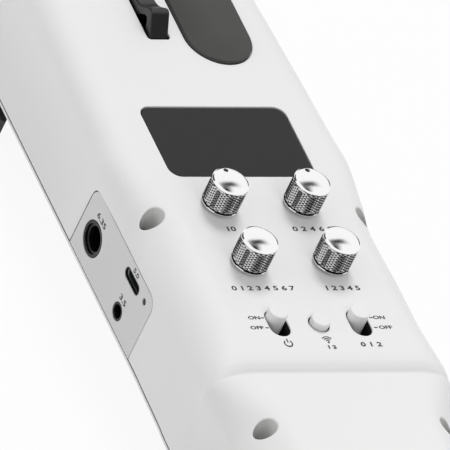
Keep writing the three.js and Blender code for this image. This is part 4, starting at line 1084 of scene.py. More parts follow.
def jack_panel():
    """The side panel, with a soft edge and a hole for each socket."""
    face = -PANEL_X
    floor = face - 2 * SHELL_WALL
    left, right, bottom, top = side_box("jack_panel")
    tall = (left, right, bottom - 2 * PANEL_CORNER, top)
    below = (left - 5, bottom - 5 * PANEL_CORNER, face - 5), (right + 5, bottom, face + 5)
    panel = plate("panel", tall, PANEL_CORNER, face - PANEL_THICK, face, 0.22, steps=12)
    cut(panel, box_piece("below", *below))
    holes = []
    for node, radius in (("output_jack", 4.98), ("phones_jack", 2.55)):
        _, y, z = middle_of(node)
        holes.append(opening("socket_hole", circle_box(radius, -y, z), radius, floor, 0.18, 14, face))
    slot = side_box("usb_port", SEAT)
    holes.append(opening("usb_hole", slot, full_round(slot), floor, 0.15, 14, face))
    hole = circle_box(PIN_HOLE_RADIUS, *PIN_HOLE)
    holes.append(opening("pin_hole", hole, PIN_HOLE_RADIUS, floor, 0.1, 14, face))
    cut(panel, *holes)
    finished(on_side(panel), "jack_panel_plate", "body", "panel", ("jack_panel",))
    radius = PIN_HOLE_RADIUS - 0.07
    profile = [(-0.1, face - 1.7), (0, face - 1.6), (0, face - 0.3), (-0.15, face - 0.2)]
    plug = stack("plug", circle_box(radius, *PIN_HOLE), radius, profile)
    finished(on_side(plug), "pin_hole_button", "body", "socket")
    liners()
    # The dark lining of the gap round the panel, brought up near the face at its +Y end: a dark sheet that
    # stands in for the shade in that gap
    line, back = 0.02, face - 1.9
    gap_shade = stack("gap_shade", tall, PANEL_CORNER, [(SEAT - line, back), (SEAT - line, face - 0.3)], 12)
    cut(gap_shade, stack("inside", tall, PANEL_CORNER, [(line, face - 3), (line, face)], 12))
    cut(gap_shade, box_piece("below", *below))
    strip = (left - 0.28, bottom, back), (left - line, top - PANEL_CORNER, face - 0.1)
    join(gap_shade, box_piece("end_line", *strip))
    finished(on_side(gap_shade), "jack_panel_gap_shade", "body", "switch")


def liners():
    """Black rings that line the panel's holes in front of the sockets."""
    face = -PANEL_X
    back, top = face - 0.66, face - 0.06
    edge = 0.18
    for node, radius, bore in (("output_jack", 4.95, 4.0), ("phones_jack", 2.52, 1.85)):
        _, y, z = middle_of(node)
        profile = [(bore + 0.15, back), (radius, back), (radius, top - edge), (radius - edge, top)]
        profile += [(bore + 1.6 * edge, top), (bore + 0.4 * edge, top - 0.4 * edge), (bore, top - 1.6 * edge)]
        ring = placed(turned("liner", profile + [profile[0]], 72), -y, z)
        finished(on_side(ring), f"{node}_liner", "body", "socket")
    box = side_box("usb_port", 0.27)
    ring = stack("liner", box, full_round(box), [(0, back), (0, face - 0.1)], 16)
    cut(ring, stack("inside", box, full_round(box), [(-0.32, face - 1), (-0.32, face)], 16))
    finished(on_side(ring), "usb_port_liner", "body", "socket")


def seam_gap_shade():
    """The dark strip in the gap between the two shells, just inside their rims: a dark sheet that stands in
    for the shade in the gap.
    """
    places = ring_places(-LOWER_LENGTH + 1.5, UPPER_LENGTH - 1.5)
    points = []
    for z in (SEAM_Z - SHELL_GAP, SEAM_Z):
        for inset in (0.12, 1.4):
            points += [(body_at(y)[5] - inset, y, z) for y in places]
            points += [(inset - body_at(y)[5], y, z) for y in places[::-1]]
    count = 2 * len(places)
    under, under_in, over, over_in = (count * k for k in range(4))
    faces = []
    for i in range(count):
        j = (i + 1) % count
        for near, far in ((under, over), (under_in, over_in), (under, under_in), (over, over_in)):
            faces.append((near + i, near + j, far + j, far + i))
    strip = mesh_piece("seam", points, faces)
    finished(strip, "shell_seam_gap_shade", "body", "switch")


def window():
    low, high = corners("display_window")
    glass = plate("window", span_box("display_window"), WINDOW_CORNER, low.z, high.z, 0.15, steps=14)
    finished(glass, "display_window_lens", "body", "window", ("display_window",))


def knob(node, settings, dotted):
    """A chromed knob: plain foot, groove, diamond knurl, rim and a domed top."""
    low, high = corners(node)
    x, y, _ = middle_of(node)
    radius = (high.x - low.x) / 2
    top = high.z
    columns = 2 * round(math.pi * radius / (settings.knurl_pitch / MM))
    valley = radius - settings.knurl_depth / MM
    foot_z = 0.7
    groove_z = foot_z + 0.6
    knurl_low = groove_z + 0.3
    knurl_high = top - 0.95
    rows = 2 * round((knurl_high - knurl_low) / (1.15 * settings.knurl_pitch / MM))
    plain_low = [
        (2.8, low.z), (2.8, foot_z), (radius - 0.45, foot_z), (radius - 0.15, foot_z + 0.1),
        (radius - 0.02, foot_z + 0.25), (radius - 0.02, groove_z - 0.12), (radius - 0.12, groove_z),
        (valley - 0.1, groove_z + 0.04), (valley - 0.1, knurl_low - 0.06),
    ]
    face = radius - 0.42
    dome = 0.28
    plain_high = [
        (valley - 0.02, knurl_high + 0.03), (valley - 0.06, knurl_high + 0.1),
        (radius - 0.1, knurl_high + 0.22), (radius - 0.04, knurl_high + 0.34),
        (radius - 0.08, knurl_high + 0.5), (face + 0.12, top - dome - 0.1), (face, top - dome - 0.02),
    ]
    shares = [0.97, 0.88, 0.76, 0.62, 0.46, 0.3, 0.14, 0.02]
    plain_high += [(face * share, top - dome * share * share) for share in shares]

    def ring(peak, z, low_point=None, row=0):
        """A ring of points; with a low point, every second one lies there instead."""
        points = []
        for i in range(columns):
            angle = 2 * math.pi * i / columns
            reach = low_point if low_point is not None and (i + row) % 2 else peak
            points.append((x + reach * math.cos(angle), y + reach * math.sin(angle), z))
        return points

    rings = [ring(r, z) for r, z in plain_low]
    first = len(rings)
    for row in range(rows + 1):
        z = knurl_low + (knurl_high - knurl_low) * row / rows
        edge = row in (0, rows)
        rings.append(ring(valley if edge else radius, z, valley, row))
    last = len(rings) - 1
    rings += [ring(r, z) for r, z in plain_high]
    faces = []
    for row in range(len(rings) - 1):
        for i in range(columns):
            a = row * columns + i
            b = row * columns + (i + 1) % columns
            c, d = b + columns, a + columns
            if first <= row < last:
                peak_first = (i + row) % 2 == 0
                faces += [(a, b, d), (b, c, d)] if peak_first else [(a, b, c), (a, c, d)]
            else:
                faces.append((a, b, c, d))
    faces.append(tuple(reversed(range(columns))))
    faces.append(tuple(range((len(rings) - 1) * columns, len(rings) * columns)))
    shape = mesh_piece(node, [p for r in rings for p in r], faces)
    finished(shape, f"{node}_knurled", node, "chrome", (node,), 24)
    shape.data.materials.append(MATERIALS["knurl"])
    shape.data.materials.append(MATERIALS["groove"])
    base = TO_FRAME.inverted()
    for polygon in shape.data.polygons:
        middle = base @ polygon.center
        reach = math.hypot(middle.x - x, middle.y - y)
        if knurl_low <= middle.z <= knurl_high and len(polygon.vertices) == 3:
            polygon.material_index = 1
        elif reach < radius - 0.08 and (
            groove_z - 0.02 < middle.z < knurl_low or knurl_high < middle.z < knurl_high + 0.2
        ):
            polygon.material_index = 2
    if dotted:
        reach = 3.85
        z = top - dome * (reach / face) ** 2
        dot = turned("dot", [(0.0, 0.04), (0.55, 0.03), (0.74, -0.02), (0.8, -0.08), (0.0, -0.1)], 32)
        placed(dot, x, y + reach, z, Matrix.Rotation(-2 * dome * reach / face**2, 4, "X"))
        finished(dot, f"{node}_dot", node, "socket")


def round_cap(node):
    """A white round cap with a softly rounded, nearly flat top."""
    low, high = corners(node)
    x, y, _ = middle_of(node)
    radius = (high.x - low.x) / 2
    profile = [(0.0, low.z), (radius, low.z)]
    profile += [(radius + grow, z) for grow, z in fillet(0.35, 0.0, high.z - 0.06)]
    profile += [(radius * 0.6, high.z - 0.02), (0.0, high.z)]
    cap = placed(turned("cap", profile, 64), x, y)
    finished(cap, f"{node}_round", node, "white", (node,))


def slide_frames():
    """Black frames right under the face, which line the slots and the button's hole."""
    profile = [(0, -2.35), (0, -SLOT_SKIN - 0.05)]
    for slide in SLIDES:
        box = slot_box(slide)
        frame_plate = stack("frame", grown(box, 1.1), SLOT_RADIUS + 1.1, profile)
        cut(frame_plate, stack("hole", box, SLOT_RADIUS, [(-0.05, -3), (-0.05, 0)], 12))
        finished(frame_plate, slide.replace("cap", "frame"), "body", "switch")
    y = middle_of("centre_button")[1]
    radius = BUTTON_HOLE_RADIUS + 0.9
    ring = stack("frame", circle_box(radius, 0, y), radius, profile)
    radius = BUTTON_HOLE_RADIUS - 0.1
    cut(ring, stack("hole", circle_box(radius, 0, y), radius, [(0, -3), (0, 0)], 12))
    finished(ring, "button_frame", "body", "switch")


def centre_button():
    """The round button: a stem, a flange that keeps it in, and its cap."""
    low, high = corners("centre_button")
    flange = -SHELL_WALL - SEAT
    stem, brim, cap = 1.5, 3.9, 2.6
    profile = [(0.0, low.z), (stem, low.z), (stem, flange - 1), (brim, flange - 1), (brim, flange)]
    profile += [(cap, flange)] + [(cap + grow, z) for grow, z in fillet(0.35, 0.0, high.z - 0.05)]
    profile += [(stem, high.z - 0.02), (0.0, high.z)]
    button = placed(turned("button", profile, 64), 0, middle_of("centre_button")[1])
    finished(button, "centre_button_cap", "centre_button", "white", ("centre_button",))


def thumb_pad():
    """The soft pad: a stadium with a round shoulder and a faintly domed top."""
    low, high = corners("thumb_pad")
    lip = 0.5
    rim = high.z - 1.9
    profile = [(-0.2, low.z), (0.0, low.z + 0.2)] + fillet(lip, 0.0, rim, 8)
    for i in range(1, 13):
        t = i / 12
        rise = (high.z - rim) * math.sin(math.pi / 2 * t)
        profile.append((-lip - (PAD_RADIUS - lip - 0.4) * t, rim + rise))
    pad = stack("pad", span_box("thumb_pad"), PAD_RADIUS, profile, 20)
    finished(pad, "thumb_pad_soft", "body", "rubber", ("thumb_pad",), 40)


def thumb_lever():
    """The rocker: a bent plate on a hub, each end leaning back from its foot to a crest."""
    low, high = corners("thumb_lever")
    mid = (low.y + high.y) / 2
    pivot = middle_of("lever_pin")[2]
    saddle, half = LEVER_SADDLE_HEIGHT, LEVER_HALF_LENGTH
    hub = []
    for i in range(25):
        angle = math.pi + math.pi * i / 24
        hub.append((LEVER_HUB_RADIUS * math.cos(angle), pivot + LEVER_HUB_RADIUS * math.sin(angle)))
    end = [(4.6, LEVER_FOOT)]
    end += [bend((6.6, 1.9), (7.7, 2.9), (8.5, 1.9), i / 6) for i in range(7)]
    end += [(half - 3.1, -0.9), (half, -0.9), (half, 0.0)]
    end += [bend((9.7, 4.5), (8.6, 6.2), (7.0, 4.9), i / 10) for i in range(11)]
    end += [double_bend((7.0, 4.9), (4.6, 3.0), (3.6, saddle), (0.0, saddle), i / 14) for i in range(1, 15)]
    side = hub + end + [(-y, z) for y, z in end[-2::-1]]
    lever = loft("lever", [[(x, mid + y, z) for y, z in side] for x in (low.x, high.x)])
    rounded(lever, 0.75, 5, 35)
    cut(lever, bar("bore", PIN_BORE, low.x - 5, high.x + 5, (mid, pivot), "X", 32))
    finished(lever, "thumb_lever_bridge", "thumb_lever", "lever", ("thumb_lever",), 40)
    # A near-black tube lining the lever's hole under the face: a dark sheet that stands in for the shade in
    # the slot
    hole = lever_box()
    tube = stack("tube", grown(hole, 0.55), 1.5, [(0, -SHELL_WALL - 0.05), (0, -0.5)])
    cut(tube, stack("inside", grown(hole, -0.03), 1.0, [(0, -SHELL_WALL - 1), (0, 0)]))
    finished(tube, "thumb_lever_slot_shade", "body", "dark")


def round_socket(node, nose, bore, floor):
    """A socket's housing with a round, soft-lipped nose and its bore."""
    low, high = corners(node)
    _, y, z = middle_of(node)
    back = PANEL_X + PANEL_THICK + SEAT
    housing = box_piece("housing", (back, low.y, low.z), high)
    rounded(housing, 0.3, 2)
    reach = back - low.x
    lip = 0.12 * nose
    profile = [(0.0, -OVERRUN), (nose, -OVERRUN), (nose, reach - 0.15), (nose - 0.15, reach)]
    profile += [(bore + lip, reach), (bore + 0.3 * lip, reach - 0.3 * lip), (bore, reach - lip)]
    profile += [(bore, -OVERRUN / 2), (0.0, -OVERRUN / 2)]
    tube = turned("nose", profile, 64)
    join(housing, placed(tube, back, y, z, Matrix.Rotation(-math.pi / 2, 4, "Y")))
    cut(housing, bar("bore", bore, low.x - OVERRUN, high.x - floor, (y, z), "X", 64))
    finished(housing, f"{node}_socket", "body", "socket", (node,))


def sockets():
    """The two round sockets and the flat port behind the panel's holes."""
    round_socket("output_jack", 4.6, 3.25, 1.5)
    round_socket("phones_jack", 2.3, 1.75, 0.6)
    low, high = corners("output_jack")
    _, y, z = middle_of("output_jack")
    strip = box_piece("strip", (low.x + 1.6, y - 0.9, z + 2.75), (low.x + 12, y + 0.9, z + 3.2))
    rounded(strip, 0.15, 2)
    finished(strip, "output_jack_contact", "body", "steel")
    low, high = corners("usb_port")
    _, y, z = middle_of("usb_port")
    box = side_box("usb_port")
    face, wall = -low.x, 0.35
    can = stack("can", box, full_round(box), [(0, -high.x), (0, face - 0.08), (-0.08, face)], 16)
    mouth = [(-wall, -high.x + 0.5), (-wall, face - 0.1)]
    mouth += [(-wall + 0.1, face + 0.001), (-wall + 0.1, face + 1)]
    cut(can, stack("mouth", box, full_round(box), mouth, 16))
    finished(on_side(can), "usb_port_can", "body", "can", ("usb_port",))
    tongue = box_piece("tongue", (low.x + 0.9, y - 3.3, z - 0.35), (high.x - 0.4, y + 3.3, z + 0.35))
    rounded(tongue, 0.12, 2)
    finished(tongue, "usb_port_tongue", "body", "socket")


def case_screws():
    """Pan-head screws with a cross drive, down their wells."""
    arm, half, deep = 1.7, 0.42, 0.9
    for node in SCREWS:
        low, high = corners(node)
        x, y, _ = middle_of(node)
        radius = (high.x - low.x) / 2
        top = high.z
        head = top - SCREW_HEAD
        profile = [(0.0, low.z), (0.6, low.z), (SHANK_RADIUS, low.z + 0.6), (SHANK_RADIUS, head)]
        profile += [(radius - 0.2, head), (radius, head + 0.2), (radius, top - deep)]
        profile += [(radius - 0.15, top - 0.45), (radius - 0.55, top - 0.15), (radius - 1.1, top), (0.0, top)]
        screw = placed(turned("screw", profile, 48), x, y)
        drives = []
        for wide, tall in ((arm, half), (half, arm)):
            drives.append(box_piece("drive", (x - wide, y - tall, top - deep), (x + wide, y + tall, top + 1)))
        cut(screw, *drives)
        finished(screw, f"{node}_pan_head", "body", "steel", (node,))


# Pieces out of the photograph
def pins_and_rods():
    for node in PINS + RODS:
        low, high = corners(node)
        x, y, z = middle_of(node)
        if node in PINS:
            shape = rounded(bar("pin", (high.y - low.y) / 2, low.x, high.x, (y, z), "X", 40), 0.2)
        else:
            shape = rounded(bar("rod", (high.x - low.x) / 2, low.y, high.y, (x, z), "Y", 40), 0.35)
        finished(shape, f"{node}_steel", "body", "steel", (node,))


def left_thumb_rest():
    """A round pad with a dished top."""
    low, high = corners("thumb_rest")
    x, y, _ = middle_of("thumb_rest")
    radius, edge = (high.x - low.x) / 2, 0.8
    profile = [(0.0, low.z), (radius - 0.2, low.z), (radius, low.z + 0.2)]
    profile += [(radius + grow, z) for grow, z in fillet(edge, 0.0, high.z, 7)]
    for i in range(1, 13):
        t = i / 12
        profile.append(((radius - edge) * (1 - t), high.z - 0.9 * math.sin(math.pi / 2 * t) ** 1.5))
    rest = placed(turned("rest", profile, 96), x, y)
    finished(rest, "thumb_rest_dished", "body", "rubber", ("thumb_rest",), 40)


def octave_keys():
    """Paddles on a pin, whose tips point at the thumb rest."""
    for node, side in zip(OCTAVE_KEYS, (1, -1)):
        low, high = corners(node)
        y, z = octave_axle(node)
        hub = OCTAVE_HUB_RADIUS
        mid = y - side * (OCTAVE_REACH + hub + 2 * SEAT) / 2
        half = (OCTAVE_REACH - hub) / 2
        key = plate("paddle", (low.x, high.x, mid - half, mid + half), 5.0, 3.0, high.z, 0.8, 0.4, 12)
        near, far = sorted((y, mid))
        arm = box_piece("arm", (-OCTAVE_ARM, near, z - 1.5), (OCTAVE_ARM, far, z + 1.5))
        axle = bar("hub", hub, -OCTAVE_ARM, OCTAVE_ARM, (y, z), "X", 48)
        join(key, arm, rounded(axle, 0.3))
        cut(key, bar("bore", PIN_BORE, -OCTAVE_BORE_END, OCTAVE_BORE_END, (y, z), "X", 32))
        finished(key, f"{node}_paddle", node, "black", (node,))


def strap_loop():
    """The strap ring: a plate let into the face and a round-edged loop on it."""
    low, high = corners("strap_ring")
    y = (low.y + high.y) / 2
    outer, inner, half, soft = 8.5, 5.2, 2.0, 1.2
    top = low.z + 2.0
    centre = top + inner
    base = plate("base", span_box("strap_ring"), PLATE_CORNER, low.z, top, 0.6, 0.2, 12)
    section = []
    for x, z, start in ((outer - soft, half - soft, 0), (inner + soft, half - soft, 90),
                        (inner + soft, soft - half, 180), (outer - soft, soft - half, 270)):
        for i in range(6):
            angle = math.radians(start + 18 * i)
            section.append((x + soft * math.cos(angle), z + soft * math.sin(angle)))
    ring = turned("ring", section + [section[0]], 96)
    placed(ring, 0, y, centre, Matrix.Rotation(math.pi / 2, 4, "Y"))
    keep = box_piece("keep", (-9, y - 20, low.z + 0.2), (9, y + 20, centre + 20))
    join(base, combine(ring, [keep], "INTERSECT"))
    finished(base, "strap_ring_loop", "body", "black", ("strap_ring",))


def key_hub(y, rod, low_z, high_z, reach):
    """A hub on the rod with the arm that carries the key, edges rounded."""
    hub = bar("hub", KEY_HUB_RADIUS, y - 5, y + 5, rod, "Y", 48)
    arm = box_piece("arm", (reach, y - 3, low_z), (rod[0], y + 3, high_z))
    return rounded(hub, 0.35), rounded(arm, 0.5)


def finger_keys():
    """Round dished cups and square little-finger keys on the rods."""
    for node in ROUND_KEYS + LITTLE_KEYS:
        low, high = corners(node)
        y = (low.y + high.y) / 2
        bottom, top = low.z, FRONT_Z - KEY_GAP
        if node in ROUND_KEYS:
            kind, reach = "cup", 6.5
            key = placed(turned("cup", cup_profile(bottom, top), 80), 0, y)
        else:
            kind, reach = "paddle", -6
            key = plate("paddle", (low.x, low.x + 19, low.y, high.y), 4.0, bottom, top, 0.4, 1.0, 10)
        rod = rod_axis(f"{node.split('_')[0]}_hand_rod")
        join(key, *key_hub(y, rod, bottom + 0.2, top, reach))
        cut(key, bar("bore", ROD_BORE, y - 12, y + 12, rod, "Y", 32))
        finished(key, f"{node}_{kind}", node, "black", (node,))


def cup_profile(bottom, top):
    """A round key's side: a round rim and a dish on the side that the finger meets."""
    profile = [(0.0, top), (CUP_RADIUS - 0.4, top), (CUP_RADIUS, top - 0.4), (CUP_RADIUS, bottom + 0.9)]
    profile += [(CUP_RADIUS - back, bottom + down) for back, down in rounding(0.9, 6)[1:]]
    profile.append((DISH_RADIUS, bottom + 0.02))
    for i in range(1, 11):
        t = i / 10
        profile.append((DISH_RADIUS * (1 - t), bottom + 0.8 * math.sin(math.pi / 2 * t) ** 1.4))
    return profile


def side_key():
    """The long key under the left edge, hung from its own rod."""
    low, high = corners("side_key")
    rod = rod_axis("side_rod")
    y = middle_of("side_rod")[1]
    inner = rod[0] - KEY_HUB_RADIUS + SEAT
    edge = low.x + 1.4
    top = FRONT_Z - 2.2 + SEAT
    bottom = top - 6.0
    key = plate("key", (low.x, inner, high.y - 40.0, high.y), 2.2, bottom, top, 0.0, 0.0, 8)
    past = [(edge, high.y - 42), (inner + 2, high.y - 42), (inner + 2, high.y - 31)]
    taper = (inner, high.y - 31.0), ((edge + inner) / 2, high.y - 35.5), (edge, high.y - 40.0)
    past += [bend(*taper, i / 8) for i in range(9)]
    cut(key, loft("past", [[(x, py, z) for x, py in past] for z in (bottom - 1, top + 1)]))
    rounded(key, 0.6, 4, 40)
    hub = bar("hub", KEY_HUB_RADIUS, y - 5.4, y + 5.4, rod, "Y", 48)
    arm = box_piece("arm", ((low.x + inner) / 2, y - 5.4, bottom + 0.1), (rod[0], y + 5.4, rod[1] + 1.5))
    join(key, rounded(hub, 0.35), rounded(arm, 0.4, 2))
    rooms = []
    wide, long = POST_RADIUS + SEAT, POST_HALF + SEAT
    for side in (-1, 1):
        post = y + side * SIDE_POST_PITCH
        start = (rod[0] - wide, post - long, bottom - 1)
        rooms.append(box_piece("room", start, (rod[0] + wide, post + long, FRONT_Z)))
    cut(key, bar("bore", ROD_BORE, y - 30, y + 30, rod, "Y", 32), *rooms)
    finished(key, "side_key_long", "side_key", "black", ("side_key",))


def rest_bars():
    """Soft bridges that the instrument lies on."""
    for node in ("rest_bar_lower", "rest_bar_upper"):
        low, high = corners(node)
        half = (high.x - low.x) / 2
        foot = half - 2 * half * 0.26
        floor, top = low.z, high.z
        arch, taper = 3.0, 1.6
        crown = floor + arch
        side = [(-half, top), (taper - half, floor), (-foot, floor)]
        side += [bend((-foot, floor), (-foot, crown), (arch - foot, crown), i / 6) for i in range(1, 7)]
        side += [bend((foot - arch, crown), (foot, crown), (foot, floor), i / 6) for i in range(7)]
        side += [(half - taper, floor), (half, top)]
        rest = loft("rest", [[(x, y, z) for x, z in side] for y in (low.y, high.y)])
        rounded(rest, 0.7, 4, 40)
        finished(rest, f"{node}_soft", "body", "rubber", (node,), 40)


def neck_point(along):
    """Centre and slope of the neck's line at a length from the shells' end."""
    if along <= NECK_STRAIGHT:
        return (UPPER_LENGTH + along, NECK_Z), 0.0
    angle = min(NECK_BEND, (along - NECK_STRAIGHT) / NECK_BEND_RADIUS)
    y = UPPER_LENGTH + NECK_STRAIGHT + NECK_BEND_RADIUS * math.sin(angle)
    z = NECK_Z + NECK_BEND_RADIUS * (1 - math.cos(angle))
    past = along - NECK_BEND_END
    if past > 0:
        y += past * math.cos(NECK_BEND)
        z += past * math.sin(NECK_BEND)
    return (y, z), angle


def neck_ring(centre, angle, wide, above=None, below=None, sides=72):
    """A ring square to the neck's line, with its own reach above and below."""
    above = wide if above is None else above
    below = above if below is None else below
    points = []
    for i in range(sides):
        turn = 2 * math.pi * i / sides
        up = (above if math.sin(turn) > 0 else below) * math.sin(turn)
        y, z = centre[0] - up * math.sin(angle), centre[1] + up * math.cos(angle)
        points.append((wide * math.cos(turn), y, z))
    return points


def neck_tube():
    """The curved neck, slimmer at its tip, and its tenon."""
    bent = NECK_BEND_END - NECK_STRAIGHT
    lengths = [SEAT] + [NECK_STRAIGHT * i / 6 for i in range(1, 7)]
    lengths += [NECK_STRAIGHT + bent * i / 24 for i in range(1, 25)]
    lengths += [NECK_LENGTH - 0.4]
    rings = []
    for along in lengths:
        share = min(1.0, max(0.0, (along - NECK_STRAIGHT) / bent))
        share = share * share * (3 - 2 * share)
        rings.append(neck_ring(*neck_point(along), NECK_RADIUS + (NECK_TIP_RADIUS - NECK_RADIUS) * share))
    rings.append(neck_ring(*neck_point(NECK_LENGTH), NECK_TIP_RADIUS - 0.4))
    tube = loft("neck", rings)
    tenon = bar("tenon", TENON_RADIUS, UPPER_LENGTH - 22, UPPER_LENGTH + 2 * SEAT, (0, NECK_Z), "Y", 72)
    join(tube, rounded(tenon, 0.5))
    finished(tube, "neck_curved", "body", "white", ("neck",))


def collar_ring(reach, y, ribbed=0.0):
    points = []
    for i in range(COLLAR_RIBS * 4):
        turn = 2 * math.pi * i / (COLLAR_RIBS * 4)
        r = reach - ribbed * (0.5 - 0.5 * math.cos(COLLAR_RIBS * turn))
        points.append((r * math.cos(turn), y, NECK_Z + r * math.sin(turn)))
    return points


def neck_collar():
    """The ribbed collar that locks the neck."""
    low, high = corners("neck_collar")
    radius = (high.x - low.x) / 2
    rings = [collar_ring(radius - 0.3, low.y), collar_ring(radius, low.y + 0.3)]
    rings += [collar_ring(radius, low.y + 1.2), collar_ring(radius, low.y + 1.5, 0.45)]
    rings += [collar_ring(radius, high.y - 2.1, 0.45), collar_ring(radius, high.y - 1.8)]
    rings += [collar_ring(radius - back, high.y - down) for back, down in rounding(1.2, 6)]
    collar = loft("collar", rings)
    cut(collar, bar("bore", NECK_RADIUS + SEAT, low.y - 1, high.y + 1, (0, NECK_Z), "Y", 96))
    finished(collar, "neck_collar_ribbed", "body", "black", ("neck_collar",))


def mouth_axis(along):
    """A point on the mouthpiece's line, which goes on from the neck's."""
    base, _ = neck_point(NECK_LENGTH - MOUTH_SOCKET)
    return (base[0] + along * math.cos(NECK_BEND), base[1] + along * math.sin(NECK_BEND))


def mouth_sizes(place):
    for before, after in zip(MOUTH_SHARES, MOUTH_SHARES[1:]):
        if place <= after[0]:
            t = (place - before[0]) / (after[0] - before[0])
            return [a + (b - a) * t for a, b in zip(before[1:], after[1:])]
    return list(MOUTH_SHARES[-1][1:])


def reed_block(half, start, end, low, high, tip=0.0):
    """A flat bar along the mouthpiece's table; the tip thins its outer end."""
    points = []
    for along, base in ((start, low), (end, low + tip)):
        for x in (-half, half):
            for up in (base, high):
                y = MOUTH_LENGTH + (along - MOUTH_LENGTH) * math.cos(REED_ANGLE) - up * math.sin(REED_ANGLE)
                z = (along - MOUTH_LENGTH) * math.sin(REED_ANGLE) + up * math.cos(REED_ANGLE)
                points.append((x, y, z))
    faces = [(0, 1, 3, 2), (4, 6, 7, 5), (0, 4, 5, 1), (2, 3, 7, 6), (0, 2, 6, 4), (1, 5, 7, 3)]
    block = mesh_piece("reed_block", points, faces)
    base = mouth_axis(0)
    return placed(block, 0, base[0], base[1], Matrix.Rotation(NECK_BEND, 4, "X"))


def mouthpiece():
    """The beak, bored for the neck and flat where the reed lies."""
    rings = []
    steps = 40
    for i in range(steps + 1):
        place = i / steps
        near = [mouth_sizes(min(1.0, max(0.0, place + offset))) for offset in (-0.025, 0.0, 0.025)]
        sizes = [MOUTH_RADIUS * sum(parts) / 3 for parts in zip(*near)]
        if i in (0, steps):
            sizes = [size - 0.5 for size in sizes]
        rings.append(neck_ring(mouth_axis(place * MOUTH_LENGTH), NECK_BEND, *sizes))
        if i in (0, steps - 1):
            edge = 0.6 if i == 0 else MOUTH_LENGTH - 0.5
            full = [MOUTH_RADIUS * size for size in mouth_sizes(edge / MOUTH_LENGTH)]
            rings.append(neck_ring(mouth_axis(edge), NECK_BEND, *full))
    beak = loft("beak", rings)
    bore = [neck_ring(mouth_axis(along), NECK_BEND, NECK_TIP_RADIUS + SEAT)
            for along in (-OVERRUN, MOUTH_SOCKET + SEAT)]
    start, end = MOUTH_LENGTH - REED_LENGTH - OVERRUN, MOUTH_LENGTH + OVERRUN
    table = reed_block(2 * MOUTH_RADIUS, start, end, -2 * MOUTH_RADIUS, REED_TABLE)
    cut(beak, loft("bore", bore), table)
    rounded(beak, 0.25, 2, 50)
    finished(beak, "mouthpiece_beak", "body", "black", ("mouthpiece",))


def reed_bar():
    top = REED_TABLE - SEAT
    reed = reed_block(6, MOUTH_LENGTH - REED_LENGTH, MOUTH_LENGTH - 1.2, top - REED_THICK, top, 1.0)
    rounded(reed, 0.35, 3, 50)
    finished(reed, "reed_tapered", "body", "reed", ("reed",))


# Prints on the face and the panel
PRINT_RISE = 0.02


def lettering(text, size, wide=1.4, bold=0.055):
    """Flat raised letters, centred on the origin, in millimetres."""
    deselect()
    bpy.ops.object.text_add()
    obj = bpy.context.object
    obj.data.body = text
    obj.data.size = size
    obj.data.align_x = "CENTER"
    obj.data.align_y = "CENTER"
    obj.data.offset = bold
    obj.data.extrude = PRINT_RISE
    obj.data.resolution_u = 4
    bpy.ops.object.convert(target="MESH")
    obj = bpy.context.object
    return placed(obj, turn=Matrix.Diagonal((wide, 1.0, 1.0, 1.0)))


def stroke(points, width):
    """A drawn line of even width through points, as a thin raised strip."""
    left, right = [], []
    for i, (x, y) in enumerate(points):
        before = points[max(0, i - 1)]
        after = points[min(len(points) - 1, i + 1)]
        dx, dy = after[0] - before[0], after[1] - before[1]
        length = math.hypot(dx, dy)
        nx, ny = -dy / length * width / 2, dx / length * width / 2
        left.append((x + nx, y + ny))
        right.append((x - nx, y - ny))
    edge = left + right[::-1]
    rings = [[(x, y, z) for x, y in edge] for z in (-PRINT_RISE, PRINT_RISE)]
    return strip_between(rings, len(points))


def strip_between(rings, count):
    total = 2 * count
    points = rings[0] + rings[1]
    faces = []
    for i in range(count - 1):
        a, b, c, d = i, i + 1, total - 2 - i, total - 1 - i
        faces.append((a, b, c, d))
        faces.append((total + d, total + c, total + b, total + a))
    for i in range(total):
        j = (i + 1) % total
        faces.append((i, j, total + j, total + i))
    return mesh_piece("stroke", points, faces)


def arc(x, y, radius, start, end, steps=16):
    points = []
    for i in range(steps + 1):
        angle = math.radians(start + (end - start) * i / steps)
        points.append((x + radius * math.cos(angle), y + radius * math.sin(angle)))
    return points


def united(name, shapes):
    """One object from several prints, which stay as they are side by side."""
    activate(shapes[0])
    for shape in shapes[1:]:
        shape.select_set(True)
    bpy.ops.object.join()
    finished(bpy.context.object, name, "body", "print")


# Each row of the face: its words, their places along X, Y and the size
FACE_PRINTS = (
    (("10",), (-12.1,), -1.5, 2.2),
    ("02468", (7.0, 9.6, 12.2, 14.8, 17.4), -1.5, 2.2),
    ("01234567", (-19.8, -17.4, -15.1, -12.6, -10.1, -7.6, -5.1, -2.8), -22.9, 2.2),
    ("12345", (7.6, 9.8, 12.1, 14.4, 16.7), -22.9, 2.2),
    (("ON", "ON"), (-18.3, 18.6), -33.5, 1.6),
    (("OFF", "OFF"), (-18.9, 19.1), -37.05, 1.6),
    (("1 2",), (0.35,), -44.0, 1.5),
    ("012", (10.0, 12.4, 14.8), -43.1, 2.0),
)
TICKS = ((-15.9, -33.5), (-15.95, -37.05), (16.2, -33.5), (16.2, -37.05))
TICK_HALF = 0.5
POWER_MARK = (-11.9, -42.6)
WAVE_MARK = (0.1, -42.3)
PANEL_PRINTS = (("6.35", 18.1, -16.75, 2.3), ("5.0", -4.0, -13.6, 1.9), ("3.5", -4.0, -23.4, 2.3))


